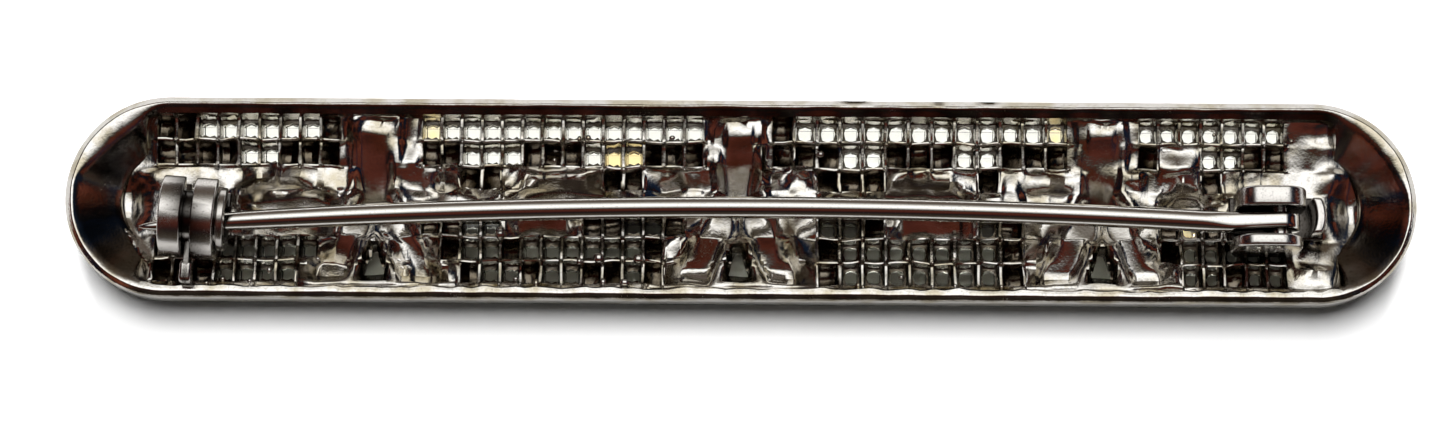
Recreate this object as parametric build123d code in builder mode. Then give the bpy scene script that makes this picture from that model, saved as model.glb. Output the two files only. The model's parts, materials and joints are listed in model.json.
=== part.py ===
# Bar brooch: a cast, hollow-backed bar set with small square stones, with a
# hinged pin stem and a turning safety catch soldered to its back.
# It lies on its front. +X runs along the bar, +Y is the top edge as worn,
# +Z points out of the back. The origin is under the middle of the bar.
import os
from collections import namedtuple
from math import cos, radians, sin, tan

from build123d import *

os.makedirs("parts", exist_ok=True)

# Outline of the bar
LENGTH = 76.4
WIDTH = 11.68
RAIL_TOP = 3.75
RAIL_WIDTH = 0.55
RAIL_FILLET = 0.38
WALL_DRAFT = 4.0
RAIL_SLOPE = 12.0

# Section across the bar: a flat middle band and two sides that turn up
FRONT_Z = 0.65
RIB_Z = 2.35
BAND_HALF = 2.02
SIDE_TILT = 12.0
RELIEF_HEIGHT = FRONT_Z
GRID_END = 33.35
CLEAR = 1.0

# Smooth hollows on the back and the raised forms on the front
TROUGH_FLOOR = 1.4
TROUGH_DRAFT = 20.0
TROUGH_START = RIB_Z + 0.7
LENS_FLOOR = 1.5
LENS_DRAFT = 22.0
LENS_HOLLOW = 0.94
LENS_SHOULDER = 0.45
RELIEF_ROOT = RIB_Z - 0.3
SCOOP_FLOOR = 1.8
SCOOP_RIM = 0.6
SCOOP_SLOPE = 42.0

# Cells and stones, sizes in the plane of the cell
ROW_PITCH = 1.43
RIB_WIDTH = 0.23
POCKET_DEPTH = 0.75
HOLE_X = 0.72
HOLE_Y = 0.78
SEAT_SIZE = 1.06
SEAT_DEPTH = 0.45
STONE_SIZE = 1.0
STONE_TABLE = 0.66
STONE_CULET = 0.68
STONE_CROWN = 0.2
STONE_GIRDLE = 0.05
STONE_PAVILION = 0.36
STONE_SINK = 0.02

# A letter for each cell, as seen from the back: o is cut through, x is a blind
# pocket, a full stop is smooth metal. The rows run from the top edge down.
Section = namedtuple("Section", "first_x pitch rows")
SECTIONS = [
    Section(-32.65, 1.17, (
        "xxoooooox",
        "xxxxooxxx",
        ".........",
        ".........",
        ".........",
        "xxxooooo.",
        "xxxoooo..",
    )),
    Section(-17.6, 1.15, (
        "oooooooooooooo",
        "xxoooxxxoooxxx",
        "..xx.....xx...",
        "..............",
        "xxoo....xxoox.",
        ".xooxoooooox..",
        "..xooxooxxox..",
    )),
    Section(2.35, 1.3, (
        "xoooooooooooo",
        "xxxooxxxooxxx",
        "..xxx....x...",
        ".............",
        "..oox....ox..",
        "..xooooooox..",
        "..xooooooo...",
    )),
    Section(23.1, 1.2, (
        "ooooooo",
        "x..ooxx",
        "...x...",
        ".......",
        ".xox...",
        ".xooooo",
        "..ooxoo",
    )),
]

# Three branching forms: a bar from the top edge that splits in two legs
BRANCHES = {"left": -20.75, "middle": -0.15, "right": 20.45}
BRANCH_HALF = 1.15
BRANCH_TOP = 4.75
BRANCH_FORK = 0.8
BRANCH_BAR_END = -0.7
BRANCH_OVERLAP = 0.2
LEG_FOOT_Y = -4.8
LEG_START = -1.5
LEG_FOOT_IN = 1.6
LEG_FOOT_OUT = 4.1

# A tapered stone sits between the two legs of each branch
WEDGE_TOP = 2.49
WEDGE_BOTTOM = 4.49
WEDGE_TOP_HALF = 0.3
WEDGE_BOTTOM_HALF = 0.95
WEDGE_GAP = 0.03
WEDGE_TABLE_INSET = 0.2
WEDGE_HOLE_INSET = 0.22
WEDGE_POCKET_INSET = -0.12
WEDGE_POCKET_RISE = 0.1
# How far each corner moves along the bar for an inset of 1
WEDGE_TOP_SHARE = 0.6
WEDGE_BOTTOM_SHARE = 1.2

# Low lens forms along the middle band
Lens = namedtuple("Lens", "x y length height")
LENSES = [
    Lens(-25.7, 0.0, 6.0, 2.8),
    Lens(-9.6, 0.0, 8.0, 2.8),
    Lens(10.0, -0.1, 6.4, 2.8),
    Lens(25.2, 0.05, 3.2, 2.4),
]

# Pin stem, hinge and rivet
PIVOT_X = 30.2
PIVOT_Y = -1.42
PIVOT_Z = 4.65
STEM_RADIUS = 0.62
STEM_EYE = 1.1
STEM_EYE_THICK = 1.06
STEM_NECK_X = 27.4
STEM_BOW = 0.98
TIP_X = -33.7
TIP_Y = -2.04
RIVET_RADIUS = 0.42
RIVET_PLAY = 0.05
RIVET_BORE = RIVET_RADIUS + 0.02
RIVET_HEAD = 0.06
Station = namedtuple("Station", "x radius")
STEM_STATIONS = [
    Station(27.1, STEM_RADIUS),
    Station(18.0, STEM_RADIUS),
    Station(8.0, STEM_RADIUS),
    Station(-2.0, STEM_RADIUS),
    Station(-12.0, STEM_RADIUS),
    Station(-22.0, STEM_RADIUS),
    Station(-27.5, 0.55),
    Station(-31.6, 0.42),
    Station(-33.0, 0.24),
    Station(TIP_X, 0.06),
]

Ear = namedtuple("Ear", "near_y far_y shift")
EARS = [
    Ear(-0.69, 0.44, 0.2),
    Ear(-2.98, -2.29, -0.05),
]
EAR_LENGTH = 3.9
EAR_TOP = 6.2
EAR_CENTRE_X = 29.5
EAR_ROUND = 1.35
EAR_FOOT_Z = RIB_Z + 0.25
EAR_FOOT_LENGTH = EAR_LENGTH - 0.6
HINGE_PAD_X0 = 27.6
HINGE_PAD_X1 = 32.9
HINGE_PAD_LOW_Y = -BAND_HALF + 0.04
HINGE_SHELF_Z = 2.6
PAD_THICK = 0.4
HINGE_WALL = 0.6
HINGE_WALL_TOP = 4.3
HINGE_WALL_LOW_Y = -1.9
HINGE_WALL_HIGH_Y = 0.16

# Safety catch: two open rings with a slotted rotor inside
CATCH_X = -30.8
CATCH_Y = -1.44
CATCH_Z = 4.7
CATCH_YAW = -4.5
RING_OUTER = 2.34
RING_INNER = 1.56
RING_WIDTH = 1.25
RING_GAP = 0.56
RING_OPEN_LOW = -26.0
RING_OPEN_HIGH = 29.0
ROTOR_OUTER = 1.5
ROTOR_INNER = 1.05
ROTOR_SLOT = 1.3
FLANGE_RADIUS = 1.8
FLANGE_GAP = 0.08
FLANGE_WIDTH = 0.42
LEVER_ANGLE = 188.0
LEVER_REACH = 3.75
LEVER_THICK = 0.38
LEVER_HEIGHT = 0.85
PADDLE_START = 2.5
PADDLE_THICK = 0.72
CATCH_PAD_LENGTH = 3.5
CATCH_PAD_HIGH_Y = 0.6
CATCH_PAD_LOW_Y = -BAND_HALF + 0.04

rise = tan(radians(SIDE_TILT))
half_width = WIDTH / 2


def surface_z(base, y):
    """Height of a surface that is base high on the middle band and rises to both sides."""
    return base + max(0.0, abs(y) - BAND_HALF) * rise


def section_above(base, top):
    """Outline across the bar of the space between a bent surface and a flat top."""
    reach = half_width + CLEAR
    return [
        (-reach, surface_z(base, reach)),
        (-BAND_HALF, base),
        (BAND_HALF, base),
        (reach, surface_z(base, reach)),
        (reach, top),
        (-reach, top),
    ]


def bent_planes(base):
    """Planes of the upper side, the middle band and the lower side, with +Z out of the back."""
    upper = Plane(
        origin=(0, BAND_HALF, base),
        x_dir=(1, 0, 0),
        z_dir=(0, -sin(radians(SIDE_TILT)), cos(radians(SIDE_TILT))),
    )
    middle = Plane(origin=(0, 0, base), x_dir=(1, 0, 0), z_dir=(0, 0, 1))
    lower = Plane(
        origin=(0, -BAND_HALF, base),
        x_dir=(1, 0, 0),
        z_dir=(0, sin(radians(SIDE_TILT)), cos(radians(SIDE_TILT))),
    )
    return [upper, middle, lower]


def row_places():
    """For each row its side (0 upper, 1 middle, 2 lower) and its height in that plane."""
    along = ROW_PITCH / cos(radians(SIDE_TILT))
    return [
        (0, 1.5 * along),
        (0, 0.5 * along),
        (1, BAND_HALF - 0.5 * ROW_PITCH),
        (1, 0.0),
        (1, 0.5 * ROW_PITCH - BAND_HALF),
        (2, -0.5 * along),
        (2, -1.5 * along),
    ]


def cells_on(side, letters):
    """Cells of one side whose letter is asked for, as (x, y in the plane, pitch)."""
    found = []
    for section in SECTIONS:
        for (row_side, height), row in zip(row_places(), section.rows):
            if row_side != side:
                continue
            for column, letter in enumerate(row):
                if letter in letters:
                    x = section.first_x + column * section.pitch
                    found.append((x, height, section.pitch))
    return found


def wedge_outline(inset):
    """Tapered outline between the legs in the lower plane, drawn in by inset on each side."""
    along = 1 / cos(radians(SIDE_TILT))
    top = -(WEDGE_TOP - BAND_HALF) * along - inset
    bottom = -(WEDGE_BOTTOM - BAND_HALF) * along + inset
    return [
        (-WEDGE_TOP_HALF + inset * WEDGE_TOP_SHARE, top),
        (WEDGE_TOP_HALF - inset * WEDGE_TOP_SHARE, top),
        (WEDGE_BOTTOM_HALF - inset * WEDGE_BOTTOM_SHARE, bottom),
        (-WEDGE_BOTTOM_HALF + inset * WEDGE_BOTTOM_SHARE, bottom),
    ]


def wedge_plane(planes, x):
    """The lower one of three bent planes, moved along the bar to x."""
    lower = planes[2]
    return Plane(lower.origin + Vector(x, 0, 0), x_dir=(1, 0, 0), z_dir=lower.z_dir)


def branch_outlines(x):
    """The bar and the two legs of a branch at x, each a convex outline."""
    bar = [
        (x - BRANCH_HALF, BRANCH_TOP),
        (x + BRANCH_HALF, BRANCH_TOP),
        (x + BRANCH_HALF, BRANCH_BAR_END),
        (x - BRANCH_HALF, BRANCH_BAR_END),
    ]
    legs = []
    for hand in (-1, 1):
        legs.append([
            (x - hand * BRANCH_OVERLAP, BRANCH_FORK),
            (x + hand * BRANCH_HALF, BRANCH_FORK),
            (x + hand * LEG_FOOT_OUT, LEG_FOOT_Y),
            (x + hand * LEG_FOOT_IN, LEG_FOOT_Y),
            (x - hand * BRANCH_OVERLAP, LEG_START),
        ])
    return [bar] + legs


def lens_outline(lens, scale=1.0):
    """Pointed lens outline of six points."""
    a, b = lens.length / 2 * scale, lens.height / 2 * scale
    shoulder = a * LENS_SHOULDER
    return [
        (lens.x - a, lens.y),
        (lens.x - shoulder, lens.y + b),
        (lens.x + shoulder, lens.y + b),
        (lens.x + a, lens.y),
        (lens.x + shoulder, lens.y - b),
        (lens.x - shoulder, lens.y - b),
    ]


back_planes = bent_planes(RIB_Z)
front_planes = bent_planes(FRONT_Z)

# Space above the back of the bar, inside the rail
with BuildPart() as back_space:
    with BuildSketch(Plane.XY.offset(RAIL_TOP)):
        SlotOverall(LENGTH - 2 * RAIL_WIDTH, WIDTH - 2 * RAIL_WIDTH)
    extrude(amount=-(RAIL_TOP - RIB_Z), taper=RAIL_SLOPE)
    with BuildSketch(Plane.YZ):
        Polygon(*section_above(RIB_Z, RAIL_TOP + CLEAR), align=None)
    extrude(amount=LENGTH, both=True, mode=Mode.INTERSECT)

# Scooped ends
with BuildPart() as end_scoops:
    with BuildSketch(Plane.XY.offset(RAIL_TOP)):
        SlotOverall(LENGTH - 2 * SCOOP_RIM, WIDTH - 2 * SCOOP_RIM)
    extrude(amount=-(RAIL_TOP - SCOOP_FLOOR), taper=SCOOP_SLOPE)
    with BuildSketch():
        Rectangle(2 * GRID_END, WIDTH)
    extrude(amount=RAIL_TOP + CLEAR, mode=Mode.SUBTRACT)

# Branches and lenses raised on the front
with BuildPart() as relief:
    for centre in BRANCHES.values():
        for outline in branch_outlines(centre):
            with BuildSketch(Plane.XY):
                Polygon(*outline, align=None)
            extrude(amount=RELIEF_ROOT)
    for lens in LENSES:
        with BuildSketch(Plane.XY):
            Polygon(*lens_outline(lens), align=None)
        extrude(amount=RELIEF_ROOT)
    with BuildSketch(Plane.YZ):
        Polygon(*section_above(FRONT_Z - RELIEF_HEIGHT, RIB_Z), align=None)
    extrude(amount=LENGTH, both=True, mode=Mode.INTERSECT)

# The casting
with BuildPart() as casting:
    with BuildSketch(Plane.XY.offset(RAIL_TOP)):
        SlotOverall(LENGTH, WIDTH)
    extrude(amount=-RAIL_TOP, taper=WALL_DRAFT)
    fillet(casting.faces().sort_by(Axis.Z)[-1].outer_wire().edges(), radius=RAIL_FILLET)
    with BuildSketch(Plane.YZ):
        Polygon(*section_above(FRONT_Z, RAIL_TOP + CLEAR), align=None)
    extrude(amount=LENGTH, both=True, mode=Mode.INTERSECT)
    add(relief.part)
    add(back_space.part, mode=Mode.SUBTRACT)
    add(end_scoops.part, mode=Mode.SUBTRACT)
    for centre in BRANCHES.values():
        for outline in branch_outlines(centre):
            with BuildSketch(Plane.XY.offset(TROUGH_START)):
                Polygon(*outline, align=None)
            extrude(amount=TROUGH_FLOOR - TROUGH_START, taper=TROUGH_DRAFT, mode=Mode.SUBTRACT)
    for lens in LENSES:
        with BuildSketch(Plane.XY.offset(RIB_Z)):
            Polygon(*lens_outline(lens, LENS_HOLLOW), align=None)
        extrude(amount=LENS_FLOOR - RIB_Z, taper=LENS_DRAFT, mode=Mode.SUBTRACT)
    for side in range(3):
        with BuildSketch(back_planes[side]):
            for x, y, pitch in cells_on(side, "ox"):
                with Locations((x, y)):
                    Rectangle(pitch - RIB_WIDTH, ROW_PITCH - RIB_WIDTH)
        extrude(amount=-POCKET_DEPTH, mode=Mode.SUBTRACT)
        with BuildSketch(front_planes[side].offset(-RELIEF_HEIGHT)):
            for x, y, _ in cells_on(side, "ox"):
                with Locations((x, y)):
                    Rectangle(SEAT_SIZE, SEAT_SIZE)
        extrude(amount=RELIEF_HEIGHT + SEAT_DEPTH, mode=Mode.SUBTRACT)
        with BuildSketch(front_planes[side]):
            for x, y, _ in cells_on(side, "o"):
                with Locations((x, y)):
                    Rectangle(HOLE_X, HOLE_Y)
        extrude(amount=RIB_Z - FRONT_Z, mode=Mode.SUBTRACT)
    for centre in BRANCHES.values():
        wedge_front = wedge_plane(front_planes, centre)
        with BuildSketch(wedge_plane(back_planes, centre).offset(WEDGE_POCKET_RISE)):
            Polygon(*wedge_outline(WEDGE_POCKET_INSET), align=None)
        extrude(amount=-POCKET_DEPTH - WEDGE_POCKET_RISE, mode=Mode.SUBTRACT)
        with BuildSketch(wedge_front):
            Polygon(*wedge_outline(0.0), align=None)
        extrude(amount=SEAT_DEPTH, mode=Mode.SUBTRACT)
        with BuildSketch(wedge_front):
            Polygon(*wedge_outline(WEDGE_HOLE_INSET), align=None)
        extrude(amount=RIB_Z - FRONT_Z, mode=Mode.SUBTRACT)

casting.part.label = "casting"
export_step(casting.part, "parts/casting.step")

# One square stone, its table facing -Z and its girdle on z = 0
with BuildPart() as square_stone:
    with BuildSketch(Plane.XY.offset(-STONE_CROWN)):
        Rectangle(STONE_TABLE, STONE_TABLE)
    with BuildSketch(Plane.XY):
        Rectangle(STONE_SIZE, STONE_SIZE)
    loft(ruled=True)
    with BuildSketch(Plane.XY):
        Rectangle(STONE_SIZE, STONE_SIZE)
    extrude(amount=STONE_GIRDLE)
    with BuildSketch(Plane.XY.offset(STONE_GIRDLE)):
        Rectangle(STONE_SIZE, STONE_SIZE)
    with BuildSketch(Plane.XY.offset(STONE_GIRDLE + STONE_PAVILION)):
        Rectangle(STONE_CULET, STONE_CULET)
    loft(ruled=True)

# The whole field of square stones
stone_places = []
for side in range(3):
    for x, y, _ in cells_on(side, "ox"):
        seat = front_planes[side]
        where = seat.from_local_coords(Vector(x, y, STONE_SINK))
        stone_places.append(Plane(where, x_dir=(1, 0, 0), z_dir=seat.z_dir))

with BuildPart() as pave_stones:
    with Locations(*stone_places):
        add(square_stone.part)

pave_stones.part.label = "pave_stones"
export_step(pave_stones.part, "parts/pave_stones.step")

# The three tapered stones
for place, centre in BRANCHES.items():
    seat = wedge_plane(front_planes, centre)
    with BuildPart() as wedge_stone:
        with BuildSketch(seat.offset(-STONE_CROWN)):
            Polygon(*wedge_outline(WEDGE_TABLE_INSET), align=None)
        with BuildSketch(seat.offset(STONE_SINK)):
            Polygon(*wedge_outline(WEDGE_GAP), align=None)
        loft(ruled=True)
        with BuildSketch(seat.offset(STONE_SINK)):
            Polygon(*wedge_outline(WEDGE_GAP), align=None)
        with BuildSketch(seat.offset(STONE_SINK + STONE_PAVILION)):
            Polygon(*wedge_outline(WEDGE_TABLE_INSET), align=None)
        loft(ruled=True)
    wedge_stone.part.label = "wedge_stone_" + place
    export_step(wedge_stone.part, f"parts/wedge_stone_{place}.step")

# Hinge: a pad, two unequal ears and a low wall behind them
with BuildPart() as hinge:
    pad_high_y = EARS[0].far_y
    with BuildSketch(Plane.XY.offset(RIB_Z)):
        with Locations(((HINGE_PAD_X0 + HINGE_PAD_X1) / 2, (HINGE_PAD_LOW_Y + pad_high_y) / 2)):
            Rectangle(HINGE_PAD_X1 - HINGE_PAD_X0, pad_high_y - HINGE_PAD_LOW_Y)
    extrude(amount=PAD_THICK)
    with BuildSketch(Plane.XY.offset(HINGE_SHELF_Z)):
        with Locations((EAR_CENTRE_X, (EARS[1].near_y + pad_high_y) / 2)):
            Rectangle(EAR_FOOT_LENGTH, pad_high_y - EARS[1].near_y)
    extrude(amount=RIB_Z + PAD_THICK - HINGE_SHELF_Z)
    for ear in EARS:
        with BuildSketch(Plane.XZ.offset(-ear.far_y)):
            with Locations((EAR_CENTRE_X + ear.shift, (EAR_TOP + EAR_FOOT_Z) / 2)):
                RectangleRounded(EAR_LENGTH, EAR_TOP - EAR_FOOT_Z, EAR_ROUND)
            with Locations((EAR_CENTRE_X + ear.shift, EAR_FOOT_Z + EAR_ROUND / 2)):
                Rectangle(EAR_FOOT_LENGTH, EAR_ROUND)
        extrude(amount=ear.far_y - ear.near_y)
    with BuildSketch(Plane.XY.offset(RIB_Z)):
        with Locations((HINGE_PAD_X1 - HINGE_WALL / 2, (HINGE_WALL_LOW_Y + HINGE_WALL_HIGH_Y) / 2)):
            Rectangle(HINGE_WALL, HINGE_WALL_HIGH_Y - HINGE_WALL_LOW_Y)
    extrude(amount=HINGE_WALL_TOP - RIB_Z)
    with BuildSketch(Plane.XZ.offset(-EARS[0].far_y - CLEAR)):
        with Locations((PIVOT_X, PIVOT_Z)):
            Circle(RIVET_BORE)
    extrude(amount=EARS[0].far_y - EARS[1].near_y + 2 * CLEAR, mode=Mode.SUBTRACT)

hinge.part.label = "hinge"
export_step(hinge.part, "parts/hinge.step")

# Rivet through both ears
with BuildPart() as rivet:
    with BuildSketch(Plane.XZ.offset(-EARS[0].far_y - RIVET_HEAD)):
        with Locations((PIVOT_X, PIVOT_Z)):
            Circle(RIVET_RADIUS)
    extrude(amount=EARS[0].far_y - EARS[1].near_y + 2 * RIVET_HEAD)

rivet.part.label = "rivet"
export_step(rivet.part, "parts/rivet.step")


def stem_y(x):
    """Side place of the stem's centre line: straight from eye to tip, plus its bow."""
    share = (STEM_NECK_X - x) / (STEM_NECK_X - TIP_X)
    share = min(max(share, 0.0), 1.0)
    straight = PIVOT_Y + (TIP_Y - PIVOT_Y) * share
    return straight + STEM_BOW * 4 * share * (1 - share)


# Pin stem: a flattened eye and a bowed wire with a drawn-out point
with BuildPart() as pin_stem:
    with BuildSketch(Plane.XZ.offset(-PIVOT_Y - STEM_EYE_THICK / 2)):
        with Locations((PIVOT_X, PIVOT_Z)):
            Circle(STEM_EYE)
        with Locations((STEM_NECK_X, PIVOT_Z)):
            Circle(STEM_RADIUS)
        make_hull()
    extrude(amount=STEM_EYE_THICK)
    for near, far in zip(STEM_STATIONS, STEM_STATIONS[1:]):
        for station in (near, far):
            across = Plane(
                origin=(station.x, stem_y(station.x), PIVOT_Z), x_dir=(0, 1, 0), z_dir=(1, 0, 0)
            )
            with BuildSketch(across):
                Circle(station.radius)
        loft(ruled=True)
    with BuildSketch(Plane.XZ.offset(-PIVOT_Y - STEM_EYE_THICK)):
        with Locations((PIVOT_X, PIVOT_Z)):
            Circle(RIVET_RADIUS + RIVET_PLAY)
    extrude(amount=2 * STEM_EYE_THICK, mode=Mode.SUBTRACT)

pin_stem.part.label = "pin_stem"
export_step(pin_stem.part, "parts/pin_stem.step")


catch_axis = Vector(cos(radians(CATCH_YAW)), sin(radians(CATCH_YAW)), 0)
catch_side = Vector(-sin(radians(CATCH_YAW)), cos(radians(CATCH_YAW)), 0)
catch_centre = Vector(CATCH_X, CATCH_Y, CATCH_Z)


def catch_plane(along):
    """Plane across the catch's axis, its x to the catch's open side and its y up."""
    return Plane(origin=catch_centre + catch_axis * along, x_dir=catch_side, z_dir=catch_axis)


def ray(angle, reach):
    """Point at an angle and reach in a plane across the catch."""
    return (reach * cos(radians(angle)), reach * sin(radians(angle)))


# Catch: a soldered pad with two rings, open to one side
with BuildPart() as catch:
    for start in (-RING_GAP / 2 - RING_WIDTH, RING_GAP / 2):
        with BuildSketch(catch_plane(start)):
            Circle(RING_OUTER)
            Circle(RING_INNER, mode=Mode.SUBTRACT)
            Polygon(
                (0, 0),
                ray(RING_OPEN_LOW, 2 * RING_OUTER),
                ray(RING_OPEN_HIGH, 2 * RING_OUTER),
                align=None,
                mode=Mode.SUBTRACT,
            )
        extrude(amount=RING_WIDTH)
    pad_y = (CATCH_PAD_HIGH_Y + CATCH_PAD_LOW_Y) / 2
    with BuildSketch(Plane.XY.offset(RIB_Z)):
        with Locations((CATCH_X, pad_y)):
            Rectangle(CATCH_PAD_LENGTH, CATCH_PAD_HIGH_Y - CATCH_PAD_LOW_Y)
    extrude(amount=PAD_THICK)

catch.part.label = "catch"
export_step(catch.part, "parts/catch.step")

# Rotor: a slotted sleeve with a flange at one end and a lever between the rings
with BuildPart() as rotor:
    sleeve_start = -RING_GAP / 2 - RING_WIDTH
    flange_start = RING_GAP / 2 + RING_WIDTH + FLANGE_GAP
    with BuildSketch(catch_plane(sleeve_start)):
        Circle(ROTOR_OUTER)
    extrude(amount=flange_start - sleeve_start)
    with BuildSketch(catch_plane(flange_start)):
        Circle(FLANGE_RADIUS)
    extrude(amount=FLANGE_WIDTH)
    lever_middle = (ROTOR_INNER + LEVER_REACH) / 2
    with BuildSketch(catch_plane(-LEVER_THICK / 2)):
        with Locations(Location(ray(LEVER_ANGLE, lever_middle) + (0,), (0, 0, LEVER_ANGLE))):
            Rectangle(LEVER_REACH - ROTOR_INNER, LEVER_HEIGHT)
    extrude(amount=LEVER_THICK)
    paddle_middle = (PADDLE_START + LEVER_REACH) / 2
    with BuildSketch(catch_plane(-PADDLE_THICK / 2)):
        with Locations(Location(ray(LEVER_ANGLE, paddle_middle) + (0,), (0, 0, LEVER_ANGLE))):
            Rectangle(LEVER_REACH - PADDLE_START, LEVER_HEIGHT)
    extrude(amount=PADDLE_THICK)
    with BuildSketch(catch_plane(sleeve_start - CLEAR)):
        Circle(ROTOR_INNER)
        with Locations((ROTOR_OUTER, 0)):
            Rectangle(2 * ROTOR_OUTER, ROTOR_SLOT)
    extrude(amount=flange_start + FLANGE_WIDTH - sleeve_start + 2 * CLEAR, mode=Mode.SUBTRACT)

rotor.part.label = "rotor"
export_step(rotor.part, "parts/rotor.step")
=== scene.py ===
"""Bar brooch lying on its front: the cast back, its stones, its pin and its catch."""

from __future__ import annotations

import json
import logging
import math
from dataclasses import dataclass, field
from enum import Enum
from typing import Callable

import bpy
import numpy as np
from mathutils import Matrix, Vector, noise

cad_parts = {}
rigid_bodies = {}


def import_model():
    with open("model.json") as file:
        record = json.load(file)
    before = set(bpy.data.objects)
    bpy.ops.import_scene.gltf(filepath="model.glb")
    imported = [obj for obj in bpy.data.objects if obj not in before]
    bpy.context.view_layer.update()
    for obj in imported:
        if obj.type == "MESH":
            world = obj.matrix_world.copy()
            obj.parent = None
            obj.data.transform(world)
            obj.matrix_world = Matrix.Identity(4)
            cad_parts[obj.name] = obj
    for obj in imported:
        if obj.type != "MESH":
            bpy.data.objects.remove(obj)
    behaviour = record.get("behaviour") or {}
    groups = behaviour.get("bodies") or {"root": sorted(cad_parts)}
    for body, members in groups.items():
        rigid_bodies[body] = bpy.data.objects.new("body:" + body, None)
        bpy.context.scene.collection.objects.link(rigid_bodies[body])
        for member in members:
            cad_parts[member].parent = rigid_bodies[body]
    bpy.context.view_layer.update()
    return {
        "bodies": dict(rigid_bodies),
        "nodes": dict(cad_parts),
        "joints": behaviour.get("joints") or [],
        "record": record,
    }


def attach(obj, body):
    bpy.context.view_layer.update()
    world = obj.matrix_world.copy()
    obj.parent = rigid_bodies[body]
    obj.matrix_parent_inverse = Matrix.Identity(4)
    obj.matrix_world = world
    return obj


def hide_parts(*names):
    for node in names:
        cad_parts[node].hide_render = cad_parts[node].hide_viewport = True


MM = 0.001
LOG = logging.getLogger("brooch")


class CellKind(Enum):
    """What a letter of the stone chart stands for."""

    THROUGH = "o"
    BLIND = "x"
    SMOOTH = "."


@dataclass(frozen=True)
class Cell:
    """One stone cell: its middle, its pitch along the bar and whether it is cut through."""

    x: float
    y: float
    pitch: float
    through: bool


@dataclass(frozen=True)
class Section:
    """A run of columns: the first column's middle, the pitch and one line of letters for each row."""

    first_x: float
    pitch: float
    rows: tuple[str, ...]

    @property
    def columns(self) -> int:
        """Number of columns in the section."""
        return len(self.rows[0])


@dataclass(frozen=True)
class Lens:
    """A pointed smooth hollow along the middle band, with the run of its lower lip where that lies open."""

    x: float
    y: float
    length: float
    height: float
    upper: float
    lip: tuple[float, float] | None = None


@dataclass(frozen=True)
class Mound:
    """A soft swelling, or a dent where its rise is negative, left by the wax."""

    x: float
    y: float
    reach_x: float
    reach_y: float
    rise: float


@dataclass(frozen=True)
class Stroke:
    """A rounded ridge of metal along a line of points."""

    points: tuple[tuple[float, float], ...]
    width: float
    rise: float

    def lift(self, x: np.ndarray, y: np.ndarray) -> np.ndarray:
        """How much the ridge lifts each place.

        Args:
            x: Places along the bar.
            y: Places across the bar.

        Returns:
            The lift in millimetres.
        """
        nearest = np.full(x.shape, 1e9)
        for (ax, ay), (bx, by) in zip(self.points, self.points[1:]):
            along_x, along_y = bx - ax, by - ay
            share = ((x - ax) * along_x + (y - ay) * along_y) / (along_x**2 + along_y**2)
            share = np.clip(share, 0.0, 1.0)
            nearest = np.minimum(nearest, np.hypot(x - ax - share * along_x, y - ay - share * along_y))
        return self.rise * np.exp(-((nearest / self.width) ** 2))


@dataclass(frozen=True)
class Bead:
    """A small drop of metal left by the casting."""

    x: float
    y: float
    radius: float


def smoothstep(low: float, high: float, value: np.ndarray) -> np.ndarray:
    """Smooth ramp from 0 to 1.

    Args:
        low: Value where the ramp is 0.
        high: Value where the ramp is 1.
        value: Values to ramp.

    Returns:
        The ramped values.
    """
    t = np.clip((value - low) / (high - low), 0.0, 1.0)
    return t * t * (3.0 - 2.0 * t)


def grain(x: np.ndarray, y: np.ndarray, size: float, seed: float) -> np.ndarray:
    """Smooth noise over the bar's plan.

    Args:
        x: Places along the bar in millimetres.
        y: Places across the bar in millimetres.
        size: Size of one lump in millimetres.
        seed: Offset that makes each use its own pattern.

    Returns:
        Values from about -1 to 1.
    """
    points = zip((x / size).tolist(), (y / size).tolist())
    return np.array([noise.noise(Vector((a, b, seed))) for a, b in points])


def deselect_all() -> None:
    """Clears the selection."""
    if bpy.context.object and bpy.context.object.mode != "OBJECT":
        bpy.ops.object.mode_set(mode="OBJECT")
    bpy.ops.object.select_all(action="DESELECT")


def activate(piece: bpy.types.Object) -> None:
    """Selects one object alone and makes it active.

    Args:
        piece: The object to select.
    """
    deselect_all()
    piece.select_set(True)
    bpy.context.view_layer.objects.active = piece


def tidy_mesh(piece: bpy.types.Object, merge: float = 1e-7, smooth_angle: float = 40.0) -> None:
    """Merges doubles, turns the faces outwards and shades the piece smooth by angle.

    Args:
        piece: The object to tidy.
        merge: Distance in metres under which vertices are merged.
        smooth_angle: Angle in degrees above which an edge stays sharp.
    """
    activate(piece)
    bpy.ops.object.mode_set(mode="EDIT")
    bpy.ops.mesh.select_all(action="SELECT")
    bpy.ops.mesh.remove_doubles(threshold=merge)
    bpy.ops.mesh.normals_make_consistent(inside=False)
    bpy.ops.object.mode_set(mode="OBJECT")
    bpy.ops.object.shade_smooth_by_angle(angle=math.radians(smooth_angle))


def grid_sheet(name: str, columns: int, rows: int) -> bpy.types.Object:
    """A flat grid primitive from -0.5 to 0.5 both ways.

    Args:
        name: Name of the new object.
        columns: Number of vertices along X.
        rows: Number of vertices along Y.

    Returns:
        The new object.
    """
    deselect_all()
    bpy.ops.mesh.primitive_grid_add(x_subdivisions=columns - 1, y_subdivisions=rows - 1, size=1.0)
    piece = bpy.context.object
    piece.name = name
    piece.data.name = name
    return piece


def vertex_places(piece: bpy.types.Object) -> np.ndarray:
    """Vertex places of a mesh.

    Args:
        piece: The object whose mesh is read.

    Returns:
        One row of X, Y, Z for each vertex.
    """
    places = np.empty(len(piece.data.vertices) * 3, np.float64)
    piece.data.vertices.foreach_get("co", places)
    return places.reshape(-1, 3)


def set_vertex_places(piece: bpy.types.Object, places: np.ndarray) -> None:
    """Moves the vertices of a mesh.

    Args:
        piece: The object whose mesh is moved.
        places: One row of X, Y, Z for each vertex.
    """
    piece.data.vertices.foreach_set("co", np.ascontiguousarray(places, np.float64).ravel())
    piece.data.update()


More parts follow.
